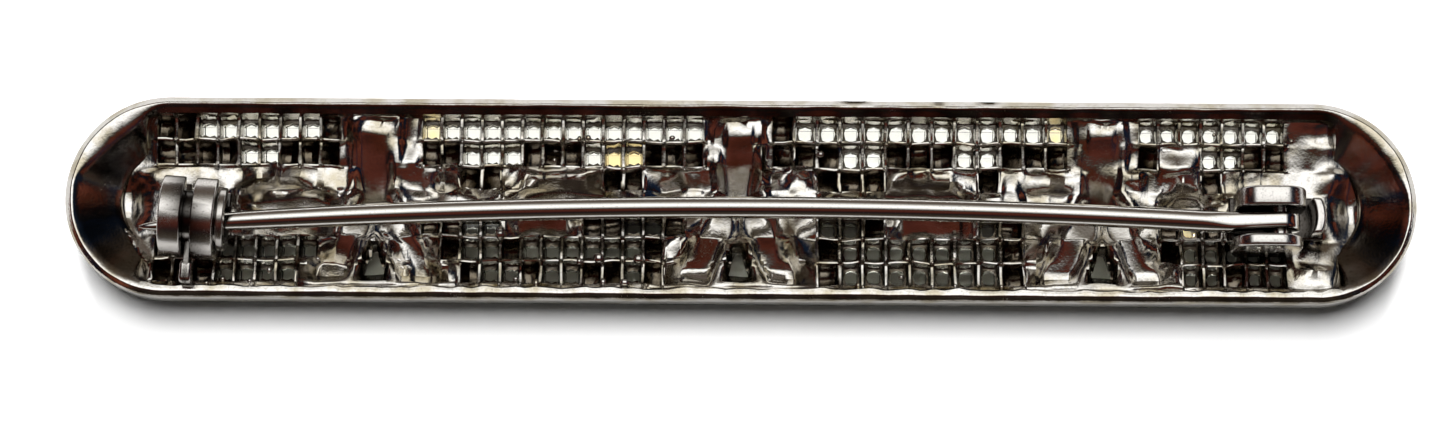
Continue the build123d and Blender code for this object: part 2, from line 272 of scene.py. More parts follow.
def wrapped_tube(
    name: str,
    stations: int,
    sides: int,
    place: Callable[[int, int], tuple[float, float, float]],
    closed: bool,
    merge: float = 1e-7,
) -> bpy.types.Object:
    """A grid rolled up into a tube, its ends joined to a loop or closed with caps.

    Args:
        name: Name of the new object.
        stations: Number of cross sections.
        sides: Number of vertices round a cross section.
        place: Gives the place in metres of a vertex from its station and side.
        closed: Whether the last section joins the first.
        merge: Distance in metres under which vertices are merged.

    Returns:
        The new object.
    """
    columns = stations + 1 if closed else stations
    piece = grid_sheet(name, columns, sides + 1)
    flat = vertex_places(piece)
    column = np.rint((flat[:, 0] + 0.5) * (columns - 1)).astype(int) % stations
    row = np.rint((flat[:, 1] + 0.5) * sides).astype(int) % sides
    table = {(i, j): place(i, j) for i in range(stations) for j in range(sides)}
    set_vertex_places(piece, np.array([table[pair] for pair in zip(column.tolist(), row.tolist())]))
    activate(piece)
    bpy.ops.object.mode_set(mode="EDIT")
    bpy.ops.mesh.select_all(action="SELECT")
    bpy.ops.mesh.remove_doubles(threshold=merge)
    if not closed:
        bpy.ops.mesh.select_all(action="DESELECT")
        bpy.ops.mesh.select_mode(type="EDGE")
        bpy.ops.mesh.select_non_manifold(
            extend=False, use_wire=False, use_boundary=True, use_multi_face=False,
            use_non_contiguous=False, use_verts=False,
        )
        bpy.ops.mesh.edge_face_add()
    bpy.ops.object.mode_set(mode="OBJECT")
    tidy_mesh(piece, merge)
    return piece


def outline_plate(
    name: str,
    outline: list[tuple[float, float]],
    frame: Matrix,
    thickness: float,
    bevel: float,
    segments: int = 3,
) -> bpy.types.Object:
    """A flat plate cut to an outline, thickened and rounded along its edges.

    Args:
        name: Name of the new object.
        outline: Points of the outline in millimetres.
        frame: Turns the outline's plane into the brooch's, in metres; the plate grows along its Z.
        thickness: Thickness in millimetres.
        bevel: Width of the rounded edges in millimetres.
        segments: Number of steps across a rounded edge.

    Returns:
        The new object.
    """
    deselect_all()
    bpy.ops.mesh.primitive_circle_add(vertices=len(outline), radius=1.0, fill_type="NGON")
    piece = bpy.context.object
    piece.name = name
    piece.data.name = name
    set_vertex_places(piece, np.array([(x * MM, y * MM, 0.0) for x, y in outline]))
    bpy.ops.object.mode_set(mode="EDIT")
    bpy.ops.mesh.select_all(action="SELECT")
    bpy.ops.mesh.extrude_region_move(TRANSFORM_OT_translate={"value": (0.0, 0.0, thickness * MM)})
    bpy.ops.mesh.select_all(action="SELECT")
    bpy.ops.mesh.normals_make_consistent(inside=False)
    bpy.ops.object.mode_set(mode="OBJECT")
    piece.data.transform(frame)
    if bevel > 0.0:
        modifier = piece.modifiers.new("Edges", "BEVEL")
        modifier.width = bevel * MM
        modifier.segments = segments
        modifier.limit_method = "ANGLE"
        modifier.angle_limit = math.radians(35.0)
        modifier.use_clamp_overlap = True
        activate(piece)
        bpy.ops.object.modifier_apply(modifier=modifier.name)
    tidy_mesh(piece)
    return piece


def joined(name: str, pieces: list[bpy.types.Object]) -> bpy.types.Object:
    """Joins several meshes into one object.

    Args:
        name: Name of the joined object.
        pieces: The objects to join.

    Returns:
        The joined object.
    """
    deselect_all()
    for piece in pieces:
        piece.select_set(True)
    bpy.context.view_layer.objects.active = pieces[0]
    if len(pieces) > 1:
        bpy.ops.object.join()
    piece = bpy.context.object
    piece.name = name
    piece.data.name = name
    return piece


def arc(radius: float, start: float, stop: float, steps: int) -> list[tuple[float, float]]:
    """Points along an arc about the origin.

    Args:
        radius: Radius of the arc.
        start: First angle in degrees.
        stop: Last angle in degrees.
        steps: Number of steps between them.

    Returns:
        The points from the first angle to the last.
    """
    angles = [math.radians(start + (stop - start) * i / steps) for i in range(steps + 1)]
    return [(radius * math.cos(a), radius * math.sin(a)) for a in angles]


def mark_painted_shade(piece: bpy.types.Object, values: np.ndarray) -> None:
    """Stores the painted shade of each vertex, in hollows, gaps and feet, and painted dark reflections on the
    rim.

    Args:
        piece: The object.
        values: One value from 0 to 1 for each vertex.
    """
    attribute = piece.data.attributes.new("painted_shade", "FLOAT", "POINT")
    attribute.data.foreach_set("value", np.ascontiguousarray(values, np.float32))


def dress(piece: bpy.types.Object, body: str, slot: str, finish: bpy.types.Material, *nodes: str) -> None:
    """Gives a finished piece its material and its body, and hides the nodes that it stands for.

    Args:
        piece: The finished piece.
        body: Name of the body that it rides on.
        slot: Not used.
        finish: The material.
        nodes: Names of the nodes that it replaces.
    """
    piece.data.materials.clear()
    piece.data.materials.append(finish)
    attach(piece, body)
    if nodes:
        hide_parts(*nodes)
    LOG.info("%s: %d triangles", piece.name, sum(len(p.vertices) - 2 for p in piece.data.polygons))


Socket = bpy.types.NodeSocket
Colour = tuple[float, float, float]


def value_of(tree: bpy.types.NodeTree, operation: str, first: Socket, second: Socket, clamp: bool) -> Socket:
    """Joins two values by one sum.

    Args:
        tree: The node tree.
        operation: Name of the sum.
        first: The first value.
        second: The second value.
        clamp: Whether the result stays from 0 to 1.

    Returns:
        The result's socket.
    """
    node = tree.nodes.new("ShaderNodeMath")
    node.operation = operation
    node.use_clamp = clamp
    tree.links.new(first, node.inputs[0])
    tree.links.new(second, node.inputs[1])
    return node.outputs[0]


def mirrored_share(tree: bpy.types.NodeTree) -> Socket:
    """Tells what metal mirrors from what is seen directly or through glass.

    Args:
        tree: The node tree.

    Returns:
        The socket, 1 in a mirrored ray and 0 in any other.
    """
    path = tree.nodes.new("ShaderNodeLightPath")
    glossy, through = path.outputs["Is Glossy Ray"], path.outputs["Is Transmission Ray"]
    return value_of(tree, "SUBTRACT", glossy, through, True)


def ranged(
    tree: bpy.types.NodeTree, source: Socket, low: float, high: float, out_low: float, out_high: float
) -> Socket:
    """Maps a value from one range to another.

    Args:
        tree: The node tree.
        source: The value.
        low: Start of its range.
        high: End of its range.
        out_low: Start of the new range.
        out_high: End of the new range.

    Returns:
        The mapped value's socket.
    """
    mapped = tree.nodes.new("ShaderNodeMapRange")
    mapped.inputs["From Min"].default_value = low
    mapped.inputs["From Max"].default_value = high
    mapped.inputs["To Min"].default_value = out_low
    mapped.inputs["To Max"].default_value = out_high
    tree.links.new(source, mapped.inputs["Value"])
    return mapped.outputs["Result"]


def speckle(tree: bpy.types.NodeTree, place: Socket, size_mm: float, detail: float) -> Socket:
    """Noise of one lump size.

    Args:
        tree: The node tree.
        place: The coordinates.
        size_mm: Size of a lump in millimetres.
        detail: How many finer layers it has.

    Returns:
        The noise's socket.
    """
    lumps = tree.nodes.new("ShaderNodeTexNoise")
    lumps.inputs["Scale"].default_value = 1.0 / (size_mm * MM)
    lumps.inputs["Detail"].default_value = detail
    tree.links.new(place, lumps.inputs["Vector"])
    return lumps.outputs["Fac"]


def blended(
    tree: bpy.types.NodeTree, share: Socket, first: Colour | Socket, second: Colour | Socket
) -> Socket:
    """Blends two colours.

    Args:
        tree: The node tree.
        share: Share of the second colour.
        first: The first colour, or the socket that gives it.
        second: The second colour, or the socket that gives it.

    Returns:
        The blend's socket.
    """
    node = tree.nodes.new("ShaderNodeMix")
    node.data_type = "RGBA"
    tree.links.new(share, node.inputs["Factor"])
    for name, source in (("A", first), ("B", second)):
        if isinstance(source, tuple):
            node.inputs[name].default_value = (*source, 1.0)
        else:
            tree.links.new(source, node.inputs[name])
    return node.outputs["Result"]


@dataclass(frozen=True)
class PlatedMetal:
    """Bright plating over cast or drawn metal, with fine stain specks and painted shade in one dark colour.
    """

    name: str
    colour: Colour = (0.62, 0.6, 0.565)
    stain_and_shade: Colour = (0.1, 0.08, 0.055)
    stain_share: float = 0.35
    tarnish: Colour = (0.38, 0.33, 0.22)
    tarnish_mm: float = 1.5
    tarnish_share: float = 0.0
    roughness: float = 0.1
    rubbed: float = 0.28
    patch_size: float = 9.0
    speck_mm: float = 0.25
    bump: float = 0.25
    bump_mm: float = 0.02
    # Whether painted shade is read from the per-vertex attribute.
    painted_shade: bool = False
    painted_shade_share: float = 0.92

    def material(self) -> bpy.types.Material:
        """Builds the material.

        Returns:
            The new material.
        """
        finish = bpy.data.materials.new(self.name)
        finish.use_nodes = True
        tree = finish.node_tree
        nodes, links = tree.nodes, tree.links
        shader = nodes["Principled BSDF"]
        shader.inputs["Metallic"].default_value = 1.0
        place = nodes.new("ShaderNodeTexCoord").outputs["Object"]
        fine = speckle(tree, place, self.speck_mm, 6.0)
        broad = speckle(tree, place, self.speck_mm * self.patch_size, 3.0)
        patch = ranged(tree, broad, 0.50, 0.66, 0.0, 1.0)
        specks = ranged(tree, fine, 0.35, 0.75, 0.0, 1.0)
        rough = nodes.new("ShaderNodeMix")
        rough.inputs["A"].default_value = self.roughness
        rough.inputs["B"].default_value = self.rubbed
        links.new(value_of(tree, "MULTIPLY", specks, patch, False), rough.inputs["Factor"])
        links.new(rough.outputs["Result"], shader.inputs["Roughness"])

        # Fine dark specks of stain; where the flag is set, painted shade from the vertex attribute is added
        # on top, in the same dark colour.
        stain_and_shade = ranged(tree, fine, 0.56, 0.80, 0.0, self.stain_share)
        if self.painted_shade:
            depth = nodes.new("ShaderNodeAttribute")
            depth.attribute_name = "painted_shade"
            hollow = ranged(tree, depth.outputs["Fac"], 0.0, 1.0, 0.0, self.painted_shade_share)
            stain_and_shade = value_of(tree, "ADD", stain_and_shade, hollow, True)
        dull = ranged(tree, speckle(tree, place, self.tarnish_mm, 4.0), 0.44, 0.62, 0.0, self.tarnish_share)
        skin = blended(tree, dull, self.colour, self.tarnish)
        links.new(blended(tree, stain_and_shade, skin, self.stain_and_shade), shader.inputs["Base Color"])

        bump = nodes.new("ShaderNodeBump")
        bump.inputs["Strength"].default_value = self.bump
        bump.inputs["Distance"].default_value = self.bump_mm * MM
        links.new(fine, bump.inputs["Height"])
        links.new(bump.outputs["Normal"], shader.inputs["Normal"])
        return finish


@dataclass(frozen=True)
class ClearStone:
    """Clear cut glass, a few stones of it yellowed by their old backing, with painted shade on the near side.
    """

    name: str
    clear: Colour = (0.84, 0.84, 0.78)
    shade_tint: Colour = (0.56, 0.56, 0.5)
    shade_ramp_half: float = 0.9
    yellowed: Colour = (0.96, 0.8, 0.42)
    yellow_places: tuple[tuple[float, float], ...] = ()
    yellow_z: float = 0.9
    yellow_reach: float = 0.62
    yellow_fade: float = 1.15

    def yellow_share(self, tree: bpy.types.NodeTree, place: Socket) -> Socket | None:
        """Marks the yellowed stones.

        Args:
            tree: The node tree.
            place: The coordinates.

        Returns:
            The socket, 1 in a yellowed stone, or None where there is none.
        """
        mask = None
        for x, y in self.yellow_places:
            gap = tree.nodes.new("ShaderNodeVectorMath")
            gap.operation = "DISTANCE"
            gap.inputs[1].default_value = (x * MM, y * MM, self.yellow_z * MM)
            tree.links.new(place, gap.inputs[0])
            reach = self.yellow_reach * MM
            end = self.yellow_reach * self.yellow_fade * MM
            near = ranged(tree, gap.outputs["Value"], reach, end, 1.0, 0.0)
            mask = near if mask is None else value_of(tree, "MAXIMUM", mask, near, False)
        return mask

    def material(self) -> bpy.types.Material:
        """Builds the material.

        Returns:
            The new material.
        """
        finish = bpy.data.materials.new(self.name)
        finish.use_nodes = True
        tree = finish.node_tree
        shader = tree.nodes["Principled BSDF"]
        shader.inputs["Transmission Weight"].default_value = 1.0
        shader.inputs["IOR"].default_value = 1.5
        shader.inputs["Roughness"].default_value = 0.02
        place = tree.nodes.new("ShaderNodeTexCoord").outputs["Object"]
        across = tree.nodes.new("ShaderNodeSeparateXYZ")
        tree.links.new(place, across.inputs[0])
        # Painted shade: stones on the near (-Y) side blend to the darker tint, where the paper under them
        # lies in shade.
        fade = self.shade_ramp_half * MM
        upper = ranged(tree, across.outputs["Y"], -fade, fade, 0.0, 1.0)
        colour = blended(tree, upper, self.shade_tint, self.clear)
        mask = self.yellow_share(tree, place)
        if mask is not None:
            colour = blended(tree, mask, colour, self.yellowed)
        tree.links.new(colour, shader.inputs["Base Color"])
        return finish


@dataclass
class BarForm:
    """Sizes in millimetres that the parts of the casting share."""

    length: float = 76.4
    width: float = 11.68
    rail_top: float = 3.75
    front_z: float = 0.65
    rib_z: float = 2.35
    band_half: float = 2.02
    side_tilt: float = 12.0
    leg_foot: float = -4.8
    row_pitch: float = 1.43
    rows: tuple[float, ...] = (4.165, 2.735, 1.305, 0.0, -1.305, -2.735, -4.165)
    scoop_floor: float = 1.8
    bowl_start: float = 4.4
    bowl_run: float = 1.6
    bowl_rise: float = 0.4

    @property
    def half_width(self) -> float:
        """Half of the bar's width."""
        return self.width / 2

    @property
    def end_x(self) -> float:
        """Middle of the round end."""
        return self.length / 2 - self.half_width

    def bent(self, base: float, y: np.ndarray) -> np.ndarray:
        """Height of a surface that is flat on the middle band and rises to both sides.

        Args:
            base: Height on the middle band.
            y: Places across the bar.

        Returns:
            The heights.
        """
        return base + np.maximum(0.0, np.abs(y) - self.band_half) * math.tan(math.radians(self.side_tilt))

    def bowl(self, inward: np.ndarray) -> np.ndarray:
        """Height of the scooped ends.

        Args:
            inward: Distances inwards from the outline.

        Returns:
            The heights.
        """
        climb = np.clip((self.bowl_start - inward) / self.bowl_run, 0.0, 1.3) ** 1.5
        return self.scoop_floor - 0.1 + self.bowl_rise * climb

    def edge_distance(self, x: np.ndarray, y: np.ndarray) -> np.ndarray:
        """Distance inwards from the bar's outline.

        Args:
            x: Places along the bar.
            y: Places across the bar.

        Returns:
            The distances, positive inside.
        """
        past = np.maximum(0.0, np.abs(x) - self.end_x)
        return self.half_width - np.hypot(past, y)


@dataclass
class StoneChart:
    """Which cells there are, read from the back: o is cut through, x is blind, a full stop is smooth."""

    form: BarForm
    sections: tuple[Section, ...] = (
        Section(-32.65, 1.17, (
            "xxoooooox", "xxxxooxxx", ".........", ".........", ".........", "xxxooooo.", "xxxoooo..",
        )),
        Section(-17.6, 1.15, (
            "oooooooooooooo", "xxoooxxxoooxxx", "..xx.....xx...", "..............",
            "xxoo....xxoox.", ".xooxoooooox..", "..xooxooxxox..",
        )),
        Section(2.35, 1.3, (
            "xoooooooooooo", "xxxooxxxooxxx", "..xxx....x...", ".............",
            "..oox....ox..", "..xooooooox..", "..xooooooox..",
        )),
        Section(23.1, 1.2, (
            "ooooooo", "x..ooxx", "...x...", ".......", ".xox...", ".xooooo", "..ooxoo",
        )),
    )

    def cells(self) -> list[Cell]:
        """All the cells of the bar.

        Returns:
            The cells, section by section and row by row.
        """
        found = []
        for section in self.sections:
            for row, letters in enumerate(section.rows):
                y = self.form.rows[row]
                for column, letter in enumerate(letters):
                    kind = CellKind(letter)
                    if kind is not CellKind.SMOOTH:
                        x = section.first_x + column * section.pitch
                        found.append(Cell(x, y, section.pitch, kind is CellKind.THROUGH))
        return found


@dataclass
class Relief:
    """The branches and lenses: hollows on the back, raised on the front."""

    form: BarForm
    branches: tuple[float, ...] = (-20.75, -0.15, 20.45)
    branch_half: float = 1.15
    branch_top: float = 4.75
    fork: float = 0.8
    leg_start: float = -1.5
    leg_foot_in: float = 1.6
    leg_foot_out: float = 4.5
    lenses: tuple[Lens, ...] = (
        Lens(-25.7, 0.0, 6.0, 2.8, 1.15, (-28.4, -22.6)),
        Lens(-9.6, 0.0, 8.0, 2.8, 1.5, (-13.4, -9.2)),
        Lens(10.2, -0.1, 7.0, 2.8, 1.95, (8.4, 13.2)),
        Lens(25.2, 0.05, 3.2, 2.4, 1.2),
    )
    lip_fade: float = 0.7

    def outlines(self, x: float) -> list[list[tuple[float, float]]]:
        """The bar and the two legs of a branch, each a convex outline.

        Args:
            x: Middle of the branch.

        Returns:
            Three outlines.
        """
        half = self.branch_half
        foot = self.form.leg_foot
        found = [[
            (x - half, self.branch_top), (x + half, self.branch_top), (x + half, -0.7), (x - half, -0.7),
        ]]
        for hand in (-1, 1):
            found.append([
                (x - hand * 0.2, self.fork),
                (x + hand * half, self.fork),
                (x + hand * self.leg_foot_out, foot),
                (x + hand * self.leg_foot_in, foot),
                (x - hand * 0.2, self.leg_start),
            ])
        return found

    @staticmethod
    def inside(outline: list[tuple[float, float]], x: np.ndarray, y: np.ndarray) -> np.ndarray:
        """Depth inside a convex outline.

        Args:
            outline: Corners of the outline.
            x: Places along the bar.
            y: Places across the bar.

        Returns:
            Distance to the nearest side, positive inside.
        """
        middle = np.mean(np.array(outline), axis=0)
        depth = np.full(x.shape, 1e9)
        for (ax, ay), (bx, by) in zip(outline, outline[1:] + outline[:1]):
            across = np.array([ay - by, bx - ax])
            across /= np.hypot(*across)
            if (middle[0] - ax) * across[0] + (middle[1] - ay) * across[1] < 0:
                across = -across
            depth = np.minimum(depth, (x - ax) * across[0] + (y - ay) * across[1])
        return depth

    def branch_depth(self, x: np.ndarray, y: np.ndarray) -> np.ndarray:
        """Depth inside the branches.

        Args:
            x: Places along the bar.
            y: Places across the bar.

        Returns:
            The depths, positive inside.
        """
        depth = np.full(x.shape, -1e9)
        for middle in self.branches:
            for outline in self.outlines(middle):
                depth = np.maximum(depth, self.inside(outline, x, y))
        return depth

    def lens_depth(self, x: np.ndarray, y: np.ndarray) -> np.ndarray:
        """Depth inside the lenses.

        Args:
            x: Places along the bar.
            y: Places across the bar.

        Returns:
            The depths, positive inside.
        """
        depth = np.full(x.shape, -1e9)
        for lens in self.lenses:
            a, b = lens.length / 2, lens.height / 2
            along = np.clip(np.abs(x - lens.x) / a, 0.0, 3.0)
            reach = np.where(y > lens.y, lens.upper, b)
            edge = reach * np.clip(1.0 - along ** 2.2, -2.0, 1.0)
            depth = np.maximum(depth, (edge - np.abs(y - lens.y)) * 0.85)
        return depth

    def lip_share(self, x: np.ndarray, y: np.ndarray) -> np.ndarray:
        """How far each place belongs to the lower lip of a lens.

        Args:
            x: Places along the bar.
            y: Places across the bar.

        Returns:
            Shares from 0 to 1.
        """
        share = np.zeros(x.shape)
        for lens in self.lenses:
            if lens.lip:
                start, end = lens.lip
                opening = smoothstep(start, start + self.lip_fade, x)
                closing = smoothstep(-end, -end + self.lip_fade, -x)
                share = np.maximum(share, opening * closing)
        return share * smoothstep(-2.1, -1.95, y) * smoothstep(0.2, 0.6, -y)


@dataclass
class CastPlate:
    """The pierced plate between the rails: cells, ribs, branches and lenses, front and back."""

    form: BarForm
    chart: StoneChart
    relief: Relief
    steps: tuple[float, ...] = (0.0, 0.07, 0.13, 0.2)
    hole_half_x: float = 0.365
    hole_half_y: float = 0.4
    hole_round: float = 0.1
    hole_grow: float = 0.4
    typical_pitch: float = 1.2
    gap_step: float = 0.18
    skin_drop: float = 0.16
    skin_lump: float = 0.33
    row_crest: float = 0.2
    column_crest: float = -0.14
    pocket: float = 0.85
    seat: float = 0.4
    least_thickness: float = 0.4
    wander: float = 0.07
    wander_across: float = 1.8
    lump_grain: tuple[float, float] = (1.35, 1.7)
    small_grain: tuple[float, float] = (0.62, 14.2)
    fine_grain: tuple[float, float] = (0.33, 5.1)
    wide_grain: tuple[float, float] = (2.6, 61.0)
    edge_grain: tuple[float, float] = (1.3, 9.3)
    wander_x_grain: tuple[float, float] = (1.1, 21.0)
    wander_y_grain: tuple[float, float] = (1.3, 33.0)
    fall_x: tuple[float, float] = (33.2, 34.5)
    calm_x: tuple[float, float] = (28.5, 31.5)
    calm_share: float = 0.65
    lens_wall: float = 0.6
    lens_rim: float = 0.3
    lens_rim_half: float = 0.22
    lens_y: tuple[float, ...] = (-1.3, -0.95, 0.6, 1.0, 1.4)
    lens_z: tuple[float, ...] = (1.4, 1.25, 1.75, 2.05, 2.4)
    lip_y: tuple[float, ...] = (-2.0, -0.5)
    lip_z: tuple[float, ...] = (1.48, 2.05)
    branch_wall: float = 0.6
    branch_rim: float = 0.26
    branch_rim_half: float = 0.26
    branch_y: tuple[float, ...] = (-4.8, -4.2, -1.9, -1.1, -0.1, 3.0, 3.9, 4.8)
    branch_z: tuple[float, ...] = (1.35, 1.3, 2.0, 1.85, 1.5, 2.6, 3.02, 3.0)
    sink_shares: tuple[float, ...] = (0.0, 0.01, 0.3, 1.0)
    crest_shares: tuple[float, ...] = (1.0, 0.9, 0.4, 0.0)
    lean_along: float = 1.1
    lean_across: float = 0.9
    lean_down: float = 0.15
    mounds: tuple[Mound, ...] = (
        Mound(-33.53, 1.4, 1.2, 0.55, 0.35),
        Mound(-24.74, 1.52, 1.6, 0.55, 0.3),
        Mound(-25.45, -0.19, 2.4, 0.4, -0.45),
        Mound(-20.14, 2.47, 0.6, 0.8, 0.4),
        Mound(-22.04, 4.05, 0.45, 0.6, 0.35),
        Mound(-18.82, 2.09, 0.85, 0.8, 0.45),
        Mound(-16.93, 1.18, 0.5, 0.42, -0.7),
        Mound(-10.07, 1.62, 1.9, 0.3, -0.4),
        Mound(-3.14, 2.32, 1.2, 0.55, 0.45),
        Mound(-3.76, 0.87, 1.5, 0.32, -0.35),
        Mound(-18.51, 0.25, 1.7, 0.4, -0.35),
        Mound(3.68, 1.41, 0.35, 0.3, -0.3),
        Mound(15.35, 1.06, 0.5, 0.55, 0.4),
        Mound(16.62, 2.5, 0.5, 0.75, -0.6),
        Mound(17.94, 1.22, 0.8, 0.4, 0.35),
        Mound(10.52, -1.82, 2.0, 0.38, -0.45),
        Mound(24.89, 2.2, 0.95, 0.7, 0.6),
        Mound(22.47, 1.61, 0.55, 0.5, 0.4),
        Mound(33.81, 1.68, 0.9, 0.6, 0.45),
        Mound(32.88, 4.15, 1.2, 0.5, -0.2),
        Mound(32.39, -3.81, 0.75, 0.33, 0.35),
        Mound(32.72, -1.94, 0.7, 0.5, -0.35),
        Mound(-34.9, -0.4, 0.7, 1.7, -0.45),
        Mound(34.7, -0.3, 0.7, 1.9, -0.4),
    )
    strokes: tuple[Stroke, ...] = (
        Stroke(((-28.56, 0.58), (-27.28, 0.72), (-26.4, 1.38), (-26.24, 2.3)), 0.22, 0.35),
        Stroke(((-28.54, 0.19), (-25.73, 0.47), (-24.07, 0.74), (-22.39, 0.22)), 0.12, 0.18),
        Stroke(((-35.02, -1.43), (-34.07, -2.86), (-32.99, -4.28), (-31.94, -5.06)), 0.2, 0.4),
        Stroke(((-24.82, -3.97), (-23.58, -2.79), (-22.91, -1.61)), 0.22, 0.35),
        Stroke(((-17.93, 2.49), (-16.25, 2.1), (-15.96, 0.79), (-14.41, 0.41), (-13.01, 1.2), (-12.52, 1.99)),
               0.26, 0.42),
        Stroke(((-8.01, 1.63), (-7.74, 0.84), (-7.1, 0.65), (-5.69, 0.72), (-5.5, 1.51)), 0.16, 0.25),
        Stroke(((-12.67, -3.51), (-12.15, -3.89), (-11.5, -4.41)), 0.14, 0.35),
        Stroke(((-5.26, -3.2), (-3.86, -2.41), (-2.97, -1.36)), 0.22, 0.35),
        Stroke(((-20.4, -1.34), (-19.21, -2.63), (-18.67, -4.06)), 0.22, 0.3),
        Stroke(((1.02, 2.97), (1.3, 1.11), (2.28, 1.26), (3.12, 2.27), (3.96, 1.85), (4.66, 0.85)),
               0.26, 0.42),
        Stroke(((2.15, -1.59), (2.85, -2.72), (3.69, -3.71)), 0.22, 0.35),
        Stroke(((16.21, -3.35), (17.34, -2.49), (17.76, -1.64)), 0.22, 0.35),
        Stroke(((12.74, -1.95), (13.45, -0.95)), 0.15, 0.2),
        Stroke(((22.42, -1.29), (22.83, -2.29), (24.22, -3.58)), 0.22, 0.35),
        Stroke(((26.0, 0.9), (27.12, 0.62), (27.97, 0.34)), 0.15, 0.25),
    )

    def axis_lines(self, borders: list[tuple[float, float, float]], ends: float) -> np.ndarray:
        """Grid lines along one axis: close together at ribs and holes, even elsewhere.

        Args:
            borders: Start, pitch and hole half width of each cell along the axis, in order.
            ends: How far the lines reach both ways.

        Returns:
            The sorted line places.
        """
        lines: list[float] = []
        reached = -ends
        for start, pitch, hole in borders:
            if start - reached > 1e-6:
                count = max(1, round((start - reached) / self.gap_step))
                lines += [reached + (start - reached) * i / count for i in range(count)]
            middle = start + pitch / 2
            lines += [start + step for step in self.steps]
            lines += [middle - hole, middle, middle + hole]
            lines += [start + pitch - step for step in reversed(self.steps[1:])]
            reached = start + pitch
        count = max(1, round((ends - reached) / self.gap_step))
        lines += [reached + (ends - reached) * i / count for i in range(count + 1)]
        return np.array(lines)

    def lines(self) -> tuple[np.ndarray, np.ndarray]:
        """Grid lines along and across the bar.

        Returns:
            The lines along the bar and the lines across it.
        """
        along = []
        for section in self.chart.sections:
            left = section.first_x - section.pitch / 2
            for column in range(section.columns):
                along.append((left + column * section.pitch, section.pitch, self.hole_half_x))
        across = []
        for y in sorted(self.form.rows):
            if abs(y) > 0.1:
                across.append((y - self.form.row_pitch / 2, self.form.row_pitch, self.hole_half_y))
        end = self.form.length / 2 - 0.5
        return self.axis_lines(along, end), self.axis_lines(across, self.form.half_width - 0.42)

    def back_height(self, x: np.ndarray, y: np.ndarray) -> tuple[np.ndarray, np.ndarray]:
        """Height of the back and the painted shade of each place.

        Args:
            x: Places along the bar.
            y: Places across the bar.

        Returns:
            The heights and the painted shade values from 0 to 1.
        """
        form = self.form
        lumps = grain(x, y, *self.lump_grain)
        small = grain(x, y, *self.small_grain)
        fine = grain(x, y, *self.fine_grain)
        rib = form.bent(form.rib_z, y)
        middle = smoothstep(-3.2, -1.8, -np.abs(y))
        fall_start, fall_end = self.fall_x
        fall = smoothstep(fall_start - 0.4 * middle, fall_end + 0.8 * middle, np.abs(x))
        rib = rib * (1 - fall) + form.bowl(form.edge_distance(x, y)) * fall
        calm = 1.0 - self.calm_share * smoothstep(*self.calm_x, np.abs(x))
        z = rib - self.skin_drop + (self.skin_lump * lumps + 0.1 * small) * calm + 0.03 * fine
        painted_shade = np.zeros(x.shape)
        in_cell = np.zeros(x.shape, bool)
        for mound in self.mounds:
            reach = ((x - mound.x) / mound.reach_x) ** 2 + ((y - mound.y) / mound.reach_y) ** 2
            z += mound.rise * np.exp(-reach)
        lens = self.relief.lens_depth(x, y)
        hollow = np.interp(y, self.lens_y, self.lens_z)
        deep = np.sin(np.clip(lens / self.lens_wall, 0.0, 1.0) * math.pi / 2) ** 1.1
        z = z * (1 - deep) + (hollow + 0.12 * lumps + 0.03 * small) * deep
        z += self.lens_rim * np.exp(-(((lens + 0.02) / self.lens_rim_half) ** 2)) * (0.75 + 0.5 * small)
        lip = self.relief.lip_share(x, y)
        ramp = np.interp(y, self.lip_y, self.lip_z) + 0.12 * lumps + 0.03 * small
        z = z * (1 - lip) + ramp * lip
        branch = self.relief.branch_depth(x, y) + 0.1 * grain(x, y, *self.edge_grain)
        floor = np.interp(y, self.branch_y, self.branch_z)
        wide = grain(x, y, *self.wide_grain)
        deep = 0.5 - 0.5 * np.cos(np.clip(branch / self.branch_wall, 0.0, 1.0) * math.pi)
        z = z * (1 - deep) + (floor + 0.05 * lumps + 0.3 * wide) * deep
        z += self.branch_rim * np.exp(-(((branch + 0.08) / self.branch_rim_half) ** 2))
        for cell in self.chart.cells():
            side_x = cell.pitch / 2 - np.abs(x - cell.x)
            side_y = form.row_pitch / 2 - np.abs(y - cell.y)
            near = np.minimum(side_x, side_y)
            here = near > -1e-6
            e = near[here]
            row_side = np.clip((side_x - side_y)[here] / 0.1 + 0.5, 0.0, 1.0)
            crest = self.column_crest + (self.row_crest - self.column_crest) * row_side + 0.09 * fine[here]
            drop = self.pocket if cell.through else self.pocket * (0.75 + 0.25 * row_side) + 0.12 * fine[here]
            sunk = np.interp(e, self.steps, self.sink_shares)
            dish = np.clip((e - self.steps[-1]) / 0.3, 0.0, 1.0)
            bottom = rib[here] - drop - (0.0 if cell.through and cell.y > 1.5 else 0.08) * dish
            if not cell.through:
                lean_x = self.lean_along * noise.noise(Vector((cell.x * 0.9, cell.y * 0.9, 71.0)))
                lean_y = self.lean_across * noise.noise(Vector((cell.x * 0.9, cell.y * 0.9, 83.0)))
                lean_y -= self.lean_down
                lean = lean_x * (x[here] - cell.x) + lean_y * (y[here] - cell.y)
                bottom = bottom + 0.3 * small[here] * dish + 0.15 * fine[here] * dish + lean
            top = rib[here] + crest * np.interp(e, self.steps, self.crest_shares)
            level = top * (1 - sunk) + bottom * sunk
            level = np.where(in_cell[here], np.maximum(z[here], level), level)
            z[here] = level
            in_cell |= here
            # Painted shade in the cells: full in blind cells, lighter in through cells towards the far rows,
            # where light comes in under the raised edge.
            dark = 1.0 if not cell.through else float(np.interp(cell.y, (1.5, 4.0), (1.0, 0.75)))
            from_crest = e - 0.02 - 0.08 * row_side
            painted_shade[here] = np.maximum(painted_shade[here], dark * np.interp(from_crest, (0.0, 0.12), (0.0, 1.0)))
        for stroke in self.strokes:
            z += stroke.lift(x, y) * (1 - 0.85 * painted_shade)
        return z, painted_shade

